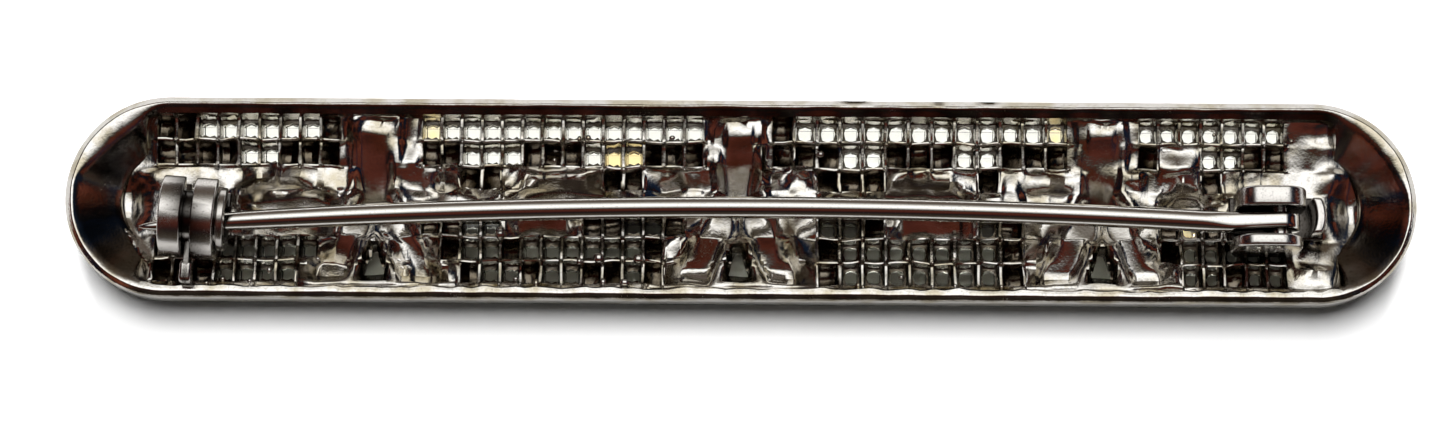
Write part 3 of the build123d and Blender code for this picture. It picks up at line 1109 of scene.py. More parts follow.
    def front_height(self, x: np.ndarray, y: np.ndarray) -> np.ndarray:
        """Height of the front: raised forms and the seats of the stones.

        Args:
            x: Places along the bar.
            y: Places across the bar.

        Returns:
            The heights.
        """
        form = self.form
        z = form.bent(form.front_z, y) + 0.01
        raised = np.maximum(self.relief.branch_depth(x, y), self.relief.lens_depth(x, y))
        z -= (form.front_z - 0.01) * smoothstep(-0.05, 0.3, raised)
        for cell in self.chart.cells():
            side_x = cell.pitch / 2 - np.abs(x - cell.x)
            side_y = form.row_pitch / 2 - np.abs(y - cell.y)
            near = np.minimum(side_x, side_y)
            here = near > -1e-6
            level = form.bent(form.front_z, y[here]) + 0.01
            z[here] = level + self.seat * np.interp(near[here], self.steps[:2], (0.0, 1.0))
        return z

    def build(self) -> bpy.types.Object:
        """Builds the plate from a grid.

        Returns:
            The new object.
        """
        along, across = self.lines()
        piece = grid_sheet("cast_plate", len(along), len(across))
        flat = vertex_places(piece)
        column = np.rint((flat[:, 0] + 0.5) * (len(along) - 1)).astype(int)
        row = np.rint((flat[:, 1] + 0.5) * (len(across) - 1)).astype(int)
        places = np.stack([along[column], across[row], np.zeros(len(flat))], axis=1)
        through = [cell for cell in self.chart.cells() if cell.through]
        for cell in through:
            right = np.abs(np.abs(places[:, 0] - cell.x) - self.hole_half_x) < 1e-4
            top = np.abs(np.abs(places[:, 1] - cell.y) - self.hole_half_y) < 1e-4
            beside = np.abs(places[:, 0] - cell.x) < cell.pitch / 2 - self.steps[-1]
            grow = self.hole_grow * (cell.pitch - self.typical_pitch)
            corner = right & top
            sides = right & (np.abs(places[:, 1] - cell.y) < self.hole_half_y + 1e-4)
            edge = top & beside
            places[sides, 0] += np.sign(places[sides, 0] - cell.x) * grow
            places[edge, 1] += np.sign(places[edge, 1] - cell.y) * grow
            places[corner, 0] -= np.sign(places[corner, 0] - cell.x) * self.hole_round
            places[corner, 1] -= np.sign(places[corner, 1] - cell.y) * self.hole_round
        set_vertex_places(piece, places)
        wedges = WedgeHole.all_of(self.form, self.relief)
        centres = np.empty(len(piece.data.polygons) * 3)
        piece.data.polygons.foreach_get("center", centres)
        centres = centres.reshape(-1, 3)
        gone = self.form.edge_distance(centres[:, 0], centres[:, 1]) < 0.44
        for cell in through:
            gone |= (np.abs(centres[:, 0] - cell.x) < self.hole_half_x - 0.01) & (
                np.abs(centres[:, 1] - cell.y) < self.hole_half_y - 0.01
            )
        for wedge in wedges:
            gone |= wedge.depth(centres[:, 0], centres[:, 1]) > 0.0
        activate(piece)
        piece.data.polygons.foreach_set("select", gone)
        bpy.ops.object.mode_set(mode="EDIT")
        bpy.ops.mesh.select_mode(type="FACE")
        bpy.ops.object.mode_set(mode="OBJECT")
        piece.data.polygons.foreach_set("select", gone)
        bpy.ops.object.mode_set(mode="EDIT")
        bpy.ops.mesh.delete(type="FACE")
        bpy.ops.object.mode_set(mode="OBJECT")
        places = vertex_places(piece)
        for wedge in wedges:
            places = wedge.snapped(places)
        set_vertex_places(piece, places)
        bpy.ops.object.mode_set(mode="EDIT")
        bpy.ops.mesh.select_all(action="SELECT")
        bpy.ops.mesh.extrude_region_move(TRANSFORM_OT_translate={"value": (0.0, 0.0, -1.0)})
        bpy.ops.object.mode_set(mode="OBJECT")
        places = vertex_places(piece)
        front = places[:, 2] < -0.5
        back = ~front
        x, y = places[:, 0].copy(), places[:, 1].copy()
        height, painted_shade = self.back_height(x[back], y[back])
        for wedge in wedges:
            height, painted_shade = wedge.shaped(x[back], y[back], height, painted_shade)
        inside = np.clip((self.form.edge_distance(x[back], y[back]) - 0.5) / 0.6, 0.0, 1.0)
        places[back, 2] = height
        places[back, 0] += self.wander * grain(x[back], y[back], *self.wander_x_grain) * inside
        far = self.wander * self.wander_across
        places[back, 1] += far * grain(x[back], y[back], *self.wander_y_grain) * inside
        places[front, 2] = self.front_height(x[front], y[front])
        places[back, 2] = np.maximum(
            places[back, 2], self.form.bent(self.form.front_z, y[back]) + self.least_thickness
        )
        set_vertex_places(piece, places * MM)
        # Painted shade: the front, which lies face down towards the paper, gets 0.4; the back gets the shade
        # of its cells and pockets.
        values = np.full(len(places), 0.4, np.float32)
        values[back] = painted_shade
        mark_painted_shade(piece, values)
        tidy_mesh(piece, merge=1e-8, smooth_angle=50.0)
        return piece


@dataclass
class WedgeHole:
    """The tapered pocket and hole between the legs of a branch."""

    form: BarForm
    x: float
    top: float = -2.9
    bottom: float = -4.3
    top_half: float = 0.22
    bottom_half: float = 0.62
    ledge_drop: float = 0.74
    rim_rise: float = 0.1
    snap_reach: float = 0.11

    @classmethod
    def all_of(cls, form: BarForm, relief: Relief) -> list[WedgeHole]:
        """One for each branch.

        Args:
            form: Sizes of the bar.
            relief: The branches.

        Returns:
            The pockets.
        """
        return [cls(form, x) for x in relief.branches]

    def depth(self, x: np.ndarray, y: np.ndarray) -> np.ndarray:
        """Depth inside the hole's outline.

        Args:
            x: Places along the bar.
            y: Places across the bar.

        Returns:
            The depths, positive inside.
        """
        outline = [
            (self.x - self.top_half, self.top), (self.x + self.top_half, self.top),
            (self.x + self.bottom_half, self.bottom), (self.x - self.bottom_half, self.bottom),
        ]
        return Relief.inside(outline, x, y)

    def snapped(self, places: np.ndarray) -> np.ndarray:
        """Draws the vertices near the hole's edge onto it.

        Args:
            places: Vertex places in millimetres.

        Returns:
            The places with the edge drawn straight.
        """
        x, y = places[:, 0], places[:, 1]
        depth = self.depth(x, y)
        step = 1e-4
        slope_x = (self.depth(x + step, y) - depth) / step
        slope_y = (self.depth(x, y + step) - depth) / step
        length = np.maximum(np.hypot(slope_x, slope_y), 1e-6)
        near = np.abs(depth) < self.snap_reach
        moved = places.copy()
        moved[near, 0] -= (depth * slope_x / length**2)[near]
        moved[near, 1] -= (depth * slope_y / length**2)[near]
        return moved

    def shaped(
        self, x: np.ndarray, y: np.ndarray, height: np.ndarray, painted_shade: np.ndarray
    ) -> tuple[np.ndarray, np.ndarray]:
        """Sinks the pocket round the hole, raises its rim and paints shade in the pocket.

        Args:
            x: Places along the bar.
            y: Places across the bar.
            height: Heights of the back.
            painted_shade: Painted shade values of the back.

        Returns:
            The new heights and painted shade values.
        """
        depth = self.depth(x, y)
        ledge = self.form.bent(self.form.rib_z, y) - self.ledge_drop
        rim = self.form.bent(self.form.rib_z, y) + self.rim_rise
        share = smoothstep(-0.34, -0.12, depth)
        shaped = rim * (1 - share) + ledge * share
        edge = smoothstep(-1.0, -0.52, depth)
        height = np.where(depth > -1.0, height * (1 - edge) + shaped * edge, height)
        # Painted shade in the pocket round the hole.
        painted_shade = np.maximum(painted_shade * (1 - edge), share * 0.9)
        return height, painted_shade


@dataclass
class CastRim:
    """The rail all round the bar, with the scooped ends."""

    form: BarForm
    stations: int = 620
    foot_side: float = 1.0
    foot_end: float = 3.0
    ridge: float = 0.42
    low_ridge: float = 0.34
    waviness: float = 0.04
    corner_z: float = 3.3
    low_corner: float = 0.13
    foot_height: float = 2.85
    far_lift: float = 0.52
    end_blend: tuple[float, float] = (0.22, 0.50)
    slope_steps: tuple[float, ...] = (0.12, 0.28, 0.46, 0.66, 0.85, 1.0)
    nicks: tuple[tuple[float, float, float], ...] = ((6.4, 0.9, 0.12), (14.0, 0.6, 0.12), (11.2, 0.3, 0.06))
    shelves: tuple[tuple[float, float, float, float], ...] = (
        (132.0, 28.0, 0.74, 0.1), (42.0, 30.0, 0.38, 0.04), (250.0, 40.0, 0.15, 0.05),
    )

    def outline_point(self, share: float) -> tuple[float, float, float, float]:
        """Point of the outline and its inward direction.

        Args:
            share: Place along the outline from 0 to 1.

        Returns:
            X and Y of the point, and X and Y of the inward direction.
        """
        radius, end = self.form.half_width, self.form.end_x
        straight, turn = 2 * end, math.pi * radius
        run = share * 2 * (straight + turn)
        if run < straight:
            return -end + run, radius, 0.0, -1.0
        run -= straight
        if run < turn:
            angle = math.pi / 2 - run / radius
            c, s = math.cos(angle), math.sin(angle)
            return end + radius * c, radius * s, -c, -s
        run -= turn
        if run < straight:
            return end - run, -radius, 0.0, 1.0
        run -= straight
        angle = -math.pi / 2 - run / radius
        c, s = math.cos(angle), math.sin(angle)
        return -end + radius * c, radius * s, -c, -s

    def section(self, x: float, y: float, in_x: float, in_y: float) -> list[tuple[float, float]]:
        """Cross section of the rail: inward distance and height of each point.

        Args:
            x: Outline point along the bar.
            y: Outline point across the bar.
            in_x: Inward direction along the bar.
            in_y: Inward direction across the bar.

        Returns:
            The points of the section, in order round it.
        """
        form = self.form
        ended = float(smoothstep(*self.end_blend, np.array(abs(in_x))))
        above = max(0.0, -in_y) * (1 - ended)
        below = max(0.0, in_y) * (1 - ended)
        foot = self.foot_side - 0.04 * below + (self.foot_end - self.foot_side) * ended
        foot_z = self.foot_height * (1 - ended) + form.bowl(np.array(foot)) * ended
        wave = noise.noise(Vector((x / 2.2, y / 2.2, 3.3)))
        ripple = noise.noise(Vector((x / 0.7, y / 0.7, 8.1)))
        top = form.rail_top - 0.08 + 0.04 * wave + (0.02 + 0.03 * below) * ripple
        low = max(0.0, in_y) ** 0.7
        ridge = self.ridge * (1 - low) + self.low_ridge * low + 0.02 * above
        ridge += self.waviness * noise.noise(Vector((x / 1.6, y / 1.6, 12.0)))
        nick = sum(
            depth * math.exp(-(((x - at) / reach) ** 4)) for at, reach, depth in self.nicks if y > 0
        )
        angle = math.degrees(math.atan2(-in_y, -in_x)) % 360.0
        shelf, shelf_drop = 0.1 + 0.16 * below + 0.05 * wave + 0.12 * below * ripple, 0.02
        for at, reach, wide, drop in self.shelves:
            share = math.exp(-(((angle - at + 180.0) % 360.0 - 180.0) / reach) ** 4) * min(1.0, abs(in_x) * 5)
            shelf += wide * share
            shelf_drop += drop * share

        def front(inward: float) -> float:
            """Height of the front face at an inward distance."""
            return float(form.bent(form.front_z, np.array(y + in_y * inward)))

        edge = ridge - 0.02
        corner = self.corner_z + self.low_corner * low + 0.03 * wave - 0.1 * nick
        points = [
            (0.38, front(0.38) - 0.005), (0.22, front(0.22) + 0.05), (0.1, front(0.1) + 0.25),
            (0.06, 2.2), (0.04, 2.9), (0.045, corner - 0.06), (0.08 + nick, corner + 0.02),
            (0.06 + (edge - 0.06) * 0.5 + nick, (corner + top) / 2 + 0.01),
            (edge - 0.03 + nick * 0.5, top - 0.06),
            (ridge, top - 0.01), (ridge + 0.05, top),
            (ridge + 0.05 + shelf * 0.5, top - 0.01 - shelf_drop * 0.5),
            (ridge + 0.05 + shelf, top - 0.02 - shelf_drop),
        ]
        start_u, start_z = ridge + 0.11 + shelf, top - 0.08 - shelf_drop
        power = 1.0 + 0.12 * ended
        lip_z = foot_z + self.far_lift * above
        rough = (0.04 + 0.04 * above - 0.025 * ended) * ripple
        for step in self.slope_steps:
            points.append((
                start_u + (foot - start_u) * step + 0.03 * wave * step,
                lip_z + (start_z - lip_z) * (1 - step) ** power + rough * step,
            ))
        points += [
            (foot + 0.06, foot_z - 0.1), (foot + 0.12, foot_z - 0.4), (foot + 0.12, front(foot + 0.12) + 0.3),
            (foot, front(foot) - 0.005), ((foot + 0.38) / 2, front((foot + 0.38) / 2) - 0.005),
        ]
        return points

    def build(self) -> bpy.types.Object:
        """Builds the rail as a closed loop.

        Returns:
            The new object.
        """
        loops = []
        for i in range(self.stations):
            x, y, in_x, in_y = self.outline_point(i / self.stations)
            loops.append([
                ((x + in_x * u) * MM, (y + in_y * u) * MM, z * MM)
                for u, z in self.section(x, y, in_x, in_y)
            ])
        piece = wrapped_tube("cast_rim", self.stations, len(loops[0]), lambda i, j: loops[i][j], closed=True)
        places = vertex_places(piece) / MM
        outer = (places[:, 1] > self.form.half_width - 0.3) & (places[:, 2] > 2.5)
        past = np.abs(places[:, 0]) - self.form.end_x
        turn = np.degrees(np.arctan2(-places[:, 1], np.maximum(past, 1e-6)))
        inward = self.form.edge_distance(places[:, 0], places[:, 1])
        # Painted dark reflections and painted shade on the rim: the near part of each end's bowl, the inner
        # slope along the far side and a thin strip just inside the outline on the near side, mottled by
        # noise.
        lower = smoothstep(-12.0, 14.0, turn) * smoothstep(-92.0, -66.0, -turn)
        lower = lower * smoothstep(0.62, 0.8, inward)
        mottle = grain(places[:, 0], places[:, 1], 1.1, 44.0)
        values = np.where(past > 0, lower * np.clip(0.95 + 0.5 * mottle, 0.3, 1.1), 0.0)
        upper = smoothstep(0.5, 0.62, inward) * smoothstep(3.0, 4.0, places[:, 1])
        upper = upper * smoothstep(-3.0, -0.5, -past)
        under = smoothstep(0.04, 0.08, inward) * smoothstep(-0.24, -0.17, -inward)
        under *= smoothstep(5.2, 5.5, -places[:, 1]) * (places[:, 2] > 3.28)
        values = np.maximum(values, upper * np.clip(0.75 + 0.5 * mottle, 0.3, 1.0))
        values = np.maximum(values, under * np.clip(0.7 + 0.6 * mottle, 0.2, 1.0)).astype(np.float32)
        # Painted shade in the nicks along the far rail's outer edge.
        for at, reach, _ in self.nicks:
            values[outer] = np.maximum(values[outer], np.exp(-(((places[outer, 0] - at) / reach) ** 4)))
        mark_painted_shade(piece, values)
        return piece


@dataclass
class CastBeads:
    """Small drops of metal at crossings of the ribs."""

    form: BarForm
    chart: StoneChart
    share: float = 0.45
    end_drop: tuple[float, float, float] = (36.3, -3.85, 2.6)
    end_drop_radius: float = 0.22
    placed: tuple[Bead, ...] = (
        Bead(-13.59, -1.84, 0.32), Bead(-12.7, -1.6, 0.2), Bead(-11.49, -4.82, 0.2), Bead(-8.0, -3.3, 0.28),
        Bead(-9.09, -3.5, 0.18), Bead(-5.77, -3.35, 0.27), Bead(-6.52, -4.76, 0.24), Bead(-7.73, -4.73, 0.2),
        Bead(-12.65, -4.57, 0.14), Bead(-3.92, 3.67, 0.16), Bead(-8.68, 3.64, 0.15), Bead(-9.19, 3.58, 0.16),
        Bead(-10.59, 2.38, 0.16), Bead(-6.66, 1.88, 0.18), Bead(4.51, 2.8, 0.2), Bead(8.25, 3.36, 0.15),
        Bead(9.39, -3.27, 0.16), Bead(12.03, -3.25, 0.15), Bead(6.61, -4.85, 0.18),
        Bead(12.11, -1.98, 0.18), Bead(9.04, -4.34, 0.14), Bead(-26.53, -4.13, 0.17),
        Bead(-27.6, -4.79, 0.16), Bead(-29.13, -4.67, 0.13), Bead(-30.02, -4.93, 0.13),
        Bead(-26.54, -1.98, 0.13), Bead(26.83, 4.01, 0.1), Bead(31.22, 3.68, 0.13), Bead(24.65, -2.23, 0.12),
    )

    def build(self) -> bpy.types.Object:
        """Builds the drops from small round primitives.

        Returns:
            The new object.
        """
        random = np.random.default_rng(7)
        beads = list(self.placed)
        for cell in self.chart.cells():
            if random.random() < self.share:
                beads.append(Bead(
                    cell.x + cell.pitch / 2 + random.normal(0, 0.04),
                    cell.y - self.form.row_pitch / 2 + random.normal(0, 0.05),
                    random.uniform(0.06, 0.12),
                ))
        pieces = []
        for bead in beads:
            z = float(self.form.bent(self.form.rib_z, np.array(bead.y))) + 0.12 + bead.radius * 0.4
            deselect_all()
            bpy.ops.mesh.primitive_ico_sphere_add(
                subdivisions=2, radius=bead.radius * MM, location=(bead.x * MM, bead.y * MM, z * MM)
            )
            piece = bpy.context.object
            bpy.ops.object.transform_apply(location=True, rotation=False, scale=False)
            bpy.ops.object.mode_set(mode="EDIT")
            bpy.ops.mesh.select_all(action="SELECT")
            bpy.ops.transform.resize(
                value=(1.0 + random.uniform(-0.2, 0.3), 1.0 + random.uniform(-0.2, 0.3), 0.9),
                center_override=(bead.x * MM, bead.y * MM, z * MM),
            )
            bpy.ops.object.mode_set(mode="OBJECT")
            pieces.append(piece)
        deselect_all()
        bpy.ops.mesh.primitive_ico_sphere_add(
            subdivisions=2, radius=self.end_drop_radius * MM, location=[v * MM for v in self.end_drop]
        )
        bpy.ops.object.transform_apply(location=True, rotation=False, scale=False)
        pieces.append(bpy.context.object)
        piece = joined("cast_beads", pieces)
        mark_painted_shade(piece, np.zeros(len(piece.data.vertices)))
        tidy_mesh(piece, smooth_angle=80.0)
        return piece


@dataclass
class PinStem:
    """The bowed wire with its flattened eye and its point."""

    pivot: tuple[float, float, float] = (30.2, -1.42, 4.65)
    radius: float = 0.62
    eye: float = 1.1
    eye_half: float = 0.53
    neck_x: float = 27.4
    bow: float = 0.98
    tip: tuple[float, float] = (-33.7, -2.04)
    sides: int = 40
    taper: tuple[tuple[float, float], ...] = (
        (-33.7, 0.05), (-33.5, 0.14), (-33.0, 0.25), (-32.2, 0.36), (-31.2, 0.44), (-27.5, 0.55),
        (-22.0, 0.61), (-16.0, 0.62), (30.0, 0.62),
    )

    def line_y(self, x: float) -> float:
        """Side place of the wire's centre line.

        Args:
            x: Place along the bar.

        Returns:
            The place across the bar.
        """
        share = min(max((self.neck_x - x) / (self.neck_x - self.tip[0]), 0.0), 1.0)
        straight = self.pivot[1] + (self.tip[1] - self.pivot[1]) * share
        return straight + self.bow * 4 * share * (1 - share)

    def half_sizes(self, x: float) -> tuple[float, float, float]:
        """Half sizes and squareness of the section.

        Args:
            x: Place along the bar.

        Returns:
            Half the thickness, half the height and the squareness.
        """
        ends = [a for a, _ in self.taper]
        wire = float(np.interp(x, ends, [b for _, b in self.taper]))
        flat = float(smoothstep(self.neck_x - 1.6, self.neck_x + 0.9, np.array(x)))
        slope = (self.eye - self.radius) / (self.pivot[0] - self.neck_x)
        tall = self.radius + slope * max(0.0, x - self.neck_x)
        past = x - self.pivot[0]
        if past > 0:
            tall = math.sqrt(max(self.eye**2 - past**2, 0.0))
        half_y = wire * (1 - flat) + self.eye_half * flat
        half_z = wire * (1 - flat) + tall * flat
        return min(half_y, 0.2 + half_z), half_z, 2.0 + 2.2 * flat

    def build(self) -> bpy.types.Object:
        """Builds the stem as one closed tube.

        Returns:
            The new object.
        """
        last = self.pivot[0] + self.eye
        stations = list(np.linspace(self.tip[0], -30.0, 16)) + list(np.linspace(-29.6, 25.0, 90))
        stations += list(np.linspace(25.4, self.pivot[0], 16)[1:])
        stations += [self.pivot[0] + self.eye * math.sin(a) for a in np.linspace(0.15, math.pi / 2 - 0.04, 9)]
        stations = [min(x, last - 0.0005) for x in stations]

        def place(i: int, j: int) -> tuple[float, float, float]:
            """Place of one vertex of the tube.

            Args:
                i: Station along the stem.
                j: Side round the section.

            Returns:
                X, Y and Z in metres.
            """
            x = float(stations[i])
            half_y, half_z, power = self.half_sizes(x)
            angle = 2 * math.pi * (j + 0.5) / self.sides
            c, s = math.cos(angle), math.sin(angle)
            y = self.line_y(x) + half_y * math.copysign(abs(c) ** (2 / power), c)
            z = self.pivot[2] + half_z * math.copysign(abs(s) ** (2 / power), s)
            return x * MM, y * MM, z * MM

        return wrapped_tube("pin_stem_wire", len(stations), self.sides, place, closed=False, merge=1e-8)


@dataclass
class Catch:
    """The safety catch: pad, two open rings and the slotted rotor with its lever."""

    centre: tuple[float, float, float] = (-30.8, -1.44, 4.7)
    yaw: float = -4.5
    ring_outer: float = 2.338
    ring_inner: float = 1.56
    ring_width: float = 1.25
    ring_gap: float = 0.56
    open_low: float = -26.0
    open_high: float = 29.0
    rotor_outer: float = 1.5
    rotor_inner: float = 1.05
    slot: float = 1.3
    flange_radius: float = 1.8
    flange_gap: float = 0.08
    flange_width: float = 0.42
    lever_angle: float = 188.0
    lever_reach: float = 3.75
    lever_thick: float = 0.38
    lever_height: float = 0.85
    paddle_start: float = 2.5
    paddle_thick: float = 0.72
    pad_z: float = 2.35
    pad_thick: float = 0.4

    def frame(self, along: float) -> Matrix:
        """Frame across the catch: its X to the open side, its Y up, its Z along the catch.

        Args:
            along: Distance along the catch in millimetres.

        Returns:
            The frame in metres.
        """
        angle = math.radians(self.yaw)
        axis = Vector((math.cos(angle), math.sin(angle), 0.0))
        side = Vector((-math.sin(angle), math.cos(angle), 0.0))
        up = Vector((0.0, 0.0, 1.0))
        turned = Matrix((side, up, axis)).transposed().to_4x4()
        return Matrix.Translation((Vector(self.centre) + axis * along) * MM) @ turned

    def ring_outline(self) -> list[tuple[float, float]]:
        """Outline of an open ring.

        Returns:
            The points of the outline.
        """
        outer = arc(self.ring_outer, self.open_high, 360 + self.open_low, 56)
        inner = arc(self.ring_inner, 360 + self.open_low, self.open_high, 48)
        return outer + inner

    def slotted(self, radius: float) -> list[tuple[float, float]]:
        """Outline of the slotted sleeve or flange.

        Args:
            radius: Its outer radius.

        Returns:
            The points of the outline.
        """
        half = self.slot / 2
        outer_angle = math.degrees(math.asin(half / radius))
        inner_angle = math.degrees(math.asin(half / self.rotor_inner))
        outer = arc(radius, outer_angle, 360 - outer_angle, 44)
        inner = arc(self.rotor_inner, 360 - inner_angle, inner_angle, 36)
        return outer + inner

    def lever_outline(self, start: float) -> list[tuple[float, float]]:
        """Outline of the lever, with a rounded end.

        Args:
            start: Radius that it starts from.

        Returns:
            The points of the outline.
        """
        half = self.lever_height / 2
        round_r = 0.32
        end = self.lever_reach
        points = [(start, -half)]
        points += [(end - round_r + x, -half + round_r + y) for x, y in arc(round_r, -90, 0, 6)]
        points += [(end - round_r + x, half - round_r + y) for x, y in arc(round_r, 0, 90, 6)]
        points.append((start, half))
        angle = math.radians(self.lever_angle)
        c, s = math.cos(angle), math.sin(angle)
        return [(x * c - y * s, x * s + y * c) for x, y in points]

    def build_rings(self) -> bpy.types.Object:
        """Builds the pad with its two open rings.

        Returns:
            The new object.
        """
        pieces = []
        for start in (-self.ring_gap / 2 - self.ring_width, self.ring_gap / 2):
            pieces.append(outline_plate(
                "catch_ring", self.ring_outline(), self.frame(start), self.ring_width, 0.1, 4
            ))
        half, low, high = 1.75, -1.98, 0.6
        pad = [
            (self.centre[0] - half, low), (self.centre[0] + half, low),
            (self.centre[0] + half, high), (self.centre[0] - half, high),
        ]
        lift = Matrix.Translation((0.0, 0.0, self.pad_z * MM))
        pieces.append(outline_plate("catch_pad", pad, lift, self.pad_thick, 0.12))
        piece = joined("catch_rings", pieces)
        # Painted shade in the gap between the rings and on the pad's foot.
        places = vertex_places(piece) / MM
        in_gap = np.abs(places[:, 0] - self.centre[0]) < self.ring_gap / 2 + 0.12
        mark_painted_shade(piece, np.where(in_gap, 0.9, np.where(places[:, 2] < 2.8, 0.4, 0.0)))
        return piece

    def build_rotor(self) -> bpy.types.Object:
        """Builds the rotor: sleeve, flange and lever.

        Returns:
            The new object.
        """
        start = -self.ring_gap / 2 - self.ring_width
        flange = self.ring_gap / 2 + self.ring_width + self.flange_gap
        pieces = [
            outline_plate(
                "sleeve", self.slotted(self.rotor_outer), self.frame(start), flange - start + 0.05, 0.06
            ),
            outline_plate(
                "flange", self.slotted(self.flange_radius), self.frame(flange), self.flange_width, 0.08
            ),
            outline_plate(
                "lever", self.lever_outline(self.rotor_inner + 0.15), self.frame(-self.lever_thick / 2),
                self.lever_thick, 0.07,
            ),
            outline_plate(
                "paddle", self.lever_outline(self.paddle_start), self.frame(-self.paddle_thick / 2),
                self.paddle_thick, 0.2, 4,
            ),
        ]
        piece = joined("catch_rotor_body", pieces)
        # Painted shade on the sleeve, which sits in the dark gap between the rings.
        places = vertex_places(piece) / MM
        reach = np.hypot(places[:, 1] - self.centre[1], places[:, 2] - self.centre[2])
        mark_painted_shade(piece, np.where(reach < self.rotor_outer + 0.1, 1.0, 0.0))
        return piece


@dataclass
class HingeMount:
    """The hinge: pad, two unequal ears, a low wall and the rivet."""

    pivot: tuple[float, float] = (30.2, 4.65)
    ears: tuple[tuple[float, float, float], ...] = ((-0.69, 0.44, 0.2), (-2.98, -2.29, -0.05))
    ear_length: float = 3.9
    ear_top: float = 6.2
    ear_x: float = 29.5
    ear_round: float = 1.35
    pad_x: tuple[float, float] = (27.6, 32.9)
    pad_y: tuple[float, float] = (-1.98, 0.44)
    shelf_z: float = 2.6
    pad_z: float = 2.35
    pad_thick: float = 0.4
    wall: float = 0.6
    wall_top: float = 4.3
    wall_y: tuple[float, float] = (-1.9, 0.16)
    rivet_radius: float = 0.42

    def ear_outline(self, shift: float) -> list[tuple[float, float]]:
        """Outline of an ear along X and Z.

        Args:
            shift: How far the ear stands from the ears' common middle.

        Returns:
            The points of the outline.
        """
        middle, half = self.ear_x + shift, self.ear_length / 2
        foot = self.pad_z + 0.25
        r = self.ear_round
        right = [(middle + half - r + x, self.ear_top - r + z) for x, z in arc(r, 0, 90, 12)]
        left = [(middle - half + r + x, self.ear_top - r + z) for x, z in arc(r, 90, 180, 12)]
        sole = [(middle - half + 0.3, foot), (middle + half - 0.3, foot)]
        return sole + [(middle + half, foot + 0.9)] + right + left + [(middle - half, foot + 0.9)]

    def build(self) -> bpy.types.Object:
        """Builds the hinge.

        Returns:
            The new object.
        """
        pieces = []
        for near_y, far_y, shift in self.ears:
            stand = Matrix.Translation((0.0, far_y * MM, 0.0)) @ Matrix.Rotation(math.pi / 2, 4, "X")
            pieces.append(outline_plate(
                "hinge_ear", self.ear_outline(shift), stand, far_y - near_y, 0.16, 4
            ))
        lift = Matrix.Translation((0.0, 0.0, self.pad_z * MM))
        (x0, x1), (y0, y1) = self.pad_x, self.pad_y
        pad = [(x0, y0), (x1, y0), (x1, y1), (x0, y1)]
        pieces.append(outline_plate("hinge_pad", pad, lift, self.pad_thick, 0.12))
        half = self.ear_length / 2 - 0.3
        shelf = [
            (self.ear_x - half, self.ears[1][0]), (self.ear_x + half, self.ears[1][0]),
            (self.ear_x + half, y1), (self.ear_x - half, y1),
        ]
        raised = Matrix.Translation((0.0, 0.0, self.shelf_z * MM))
        shelf_thick = self.pad_z + self.pad_thick - self.shelf_z
        pieces.append(outline_plate("hinge_shelf", shelf, raised, shelf_thick, 0.04))
        y0, y1 = self.wall_y
        middle = (y0 + y1) / 2
        half = (y1 - y0) / 2
        bent = [(x1 - self.wall - 0.25 * abs(t) ** 2, middle + half * t) for t in np.linspace(1, -1, 9)]
        outer = [(x1 - 0.25 * abs(t) ** 2, middle + half * t) for t in np.linspace(-1, 1, 9)]
        pieces.append(outline_plate("hinge_wall", bent + outer, lift, self.wall_top - self.pad_z, 0.2, 4))
        piece = joined("hinge_mount", pieces)
        # Painted shade on the feet and between the ears.
        places = vertex_places(piece) / MM
        between_ears = (places[:, 1] > self.ears[1][1] - 0.05) & (places[:, 1] < self.ears[0][0] + 0.05)
        foot = places[:, 2] < self.pad_z + self.pad_thick + 0.05
        shaded = between_ears & (places[:, 2] < self.ear_top - 0.3) & (places[:, 0] < self.pad_x[1] - 0.9)
        mark_painted_shade(piece, np.where(foot | shaded, 1.0, 0.0))
        return piece

    def build_rivet(self) -> bpy.types.Object:
        """Builds the rivet through both ears.

        Returns:
            The new object.
        """
        far = self.ears[0][1] + 0.06
        near = self.ears[1][0] - 0.06
        stand = Matrix.Translation((self.pivot[0] * MM, far * MM, self.pivot[1] * MM))
        stand = stand @ Matrix.Rotation(math.pi / 2, 4, "X")
        piece = outline_plate("hinge_rivet", arc(self.rivet_radius, 0, 348.75, 31), stand, far - near, 0.05)
        mark_painted_shade(piece, np.zeros(len(piece.data.vertices)))
        return piece


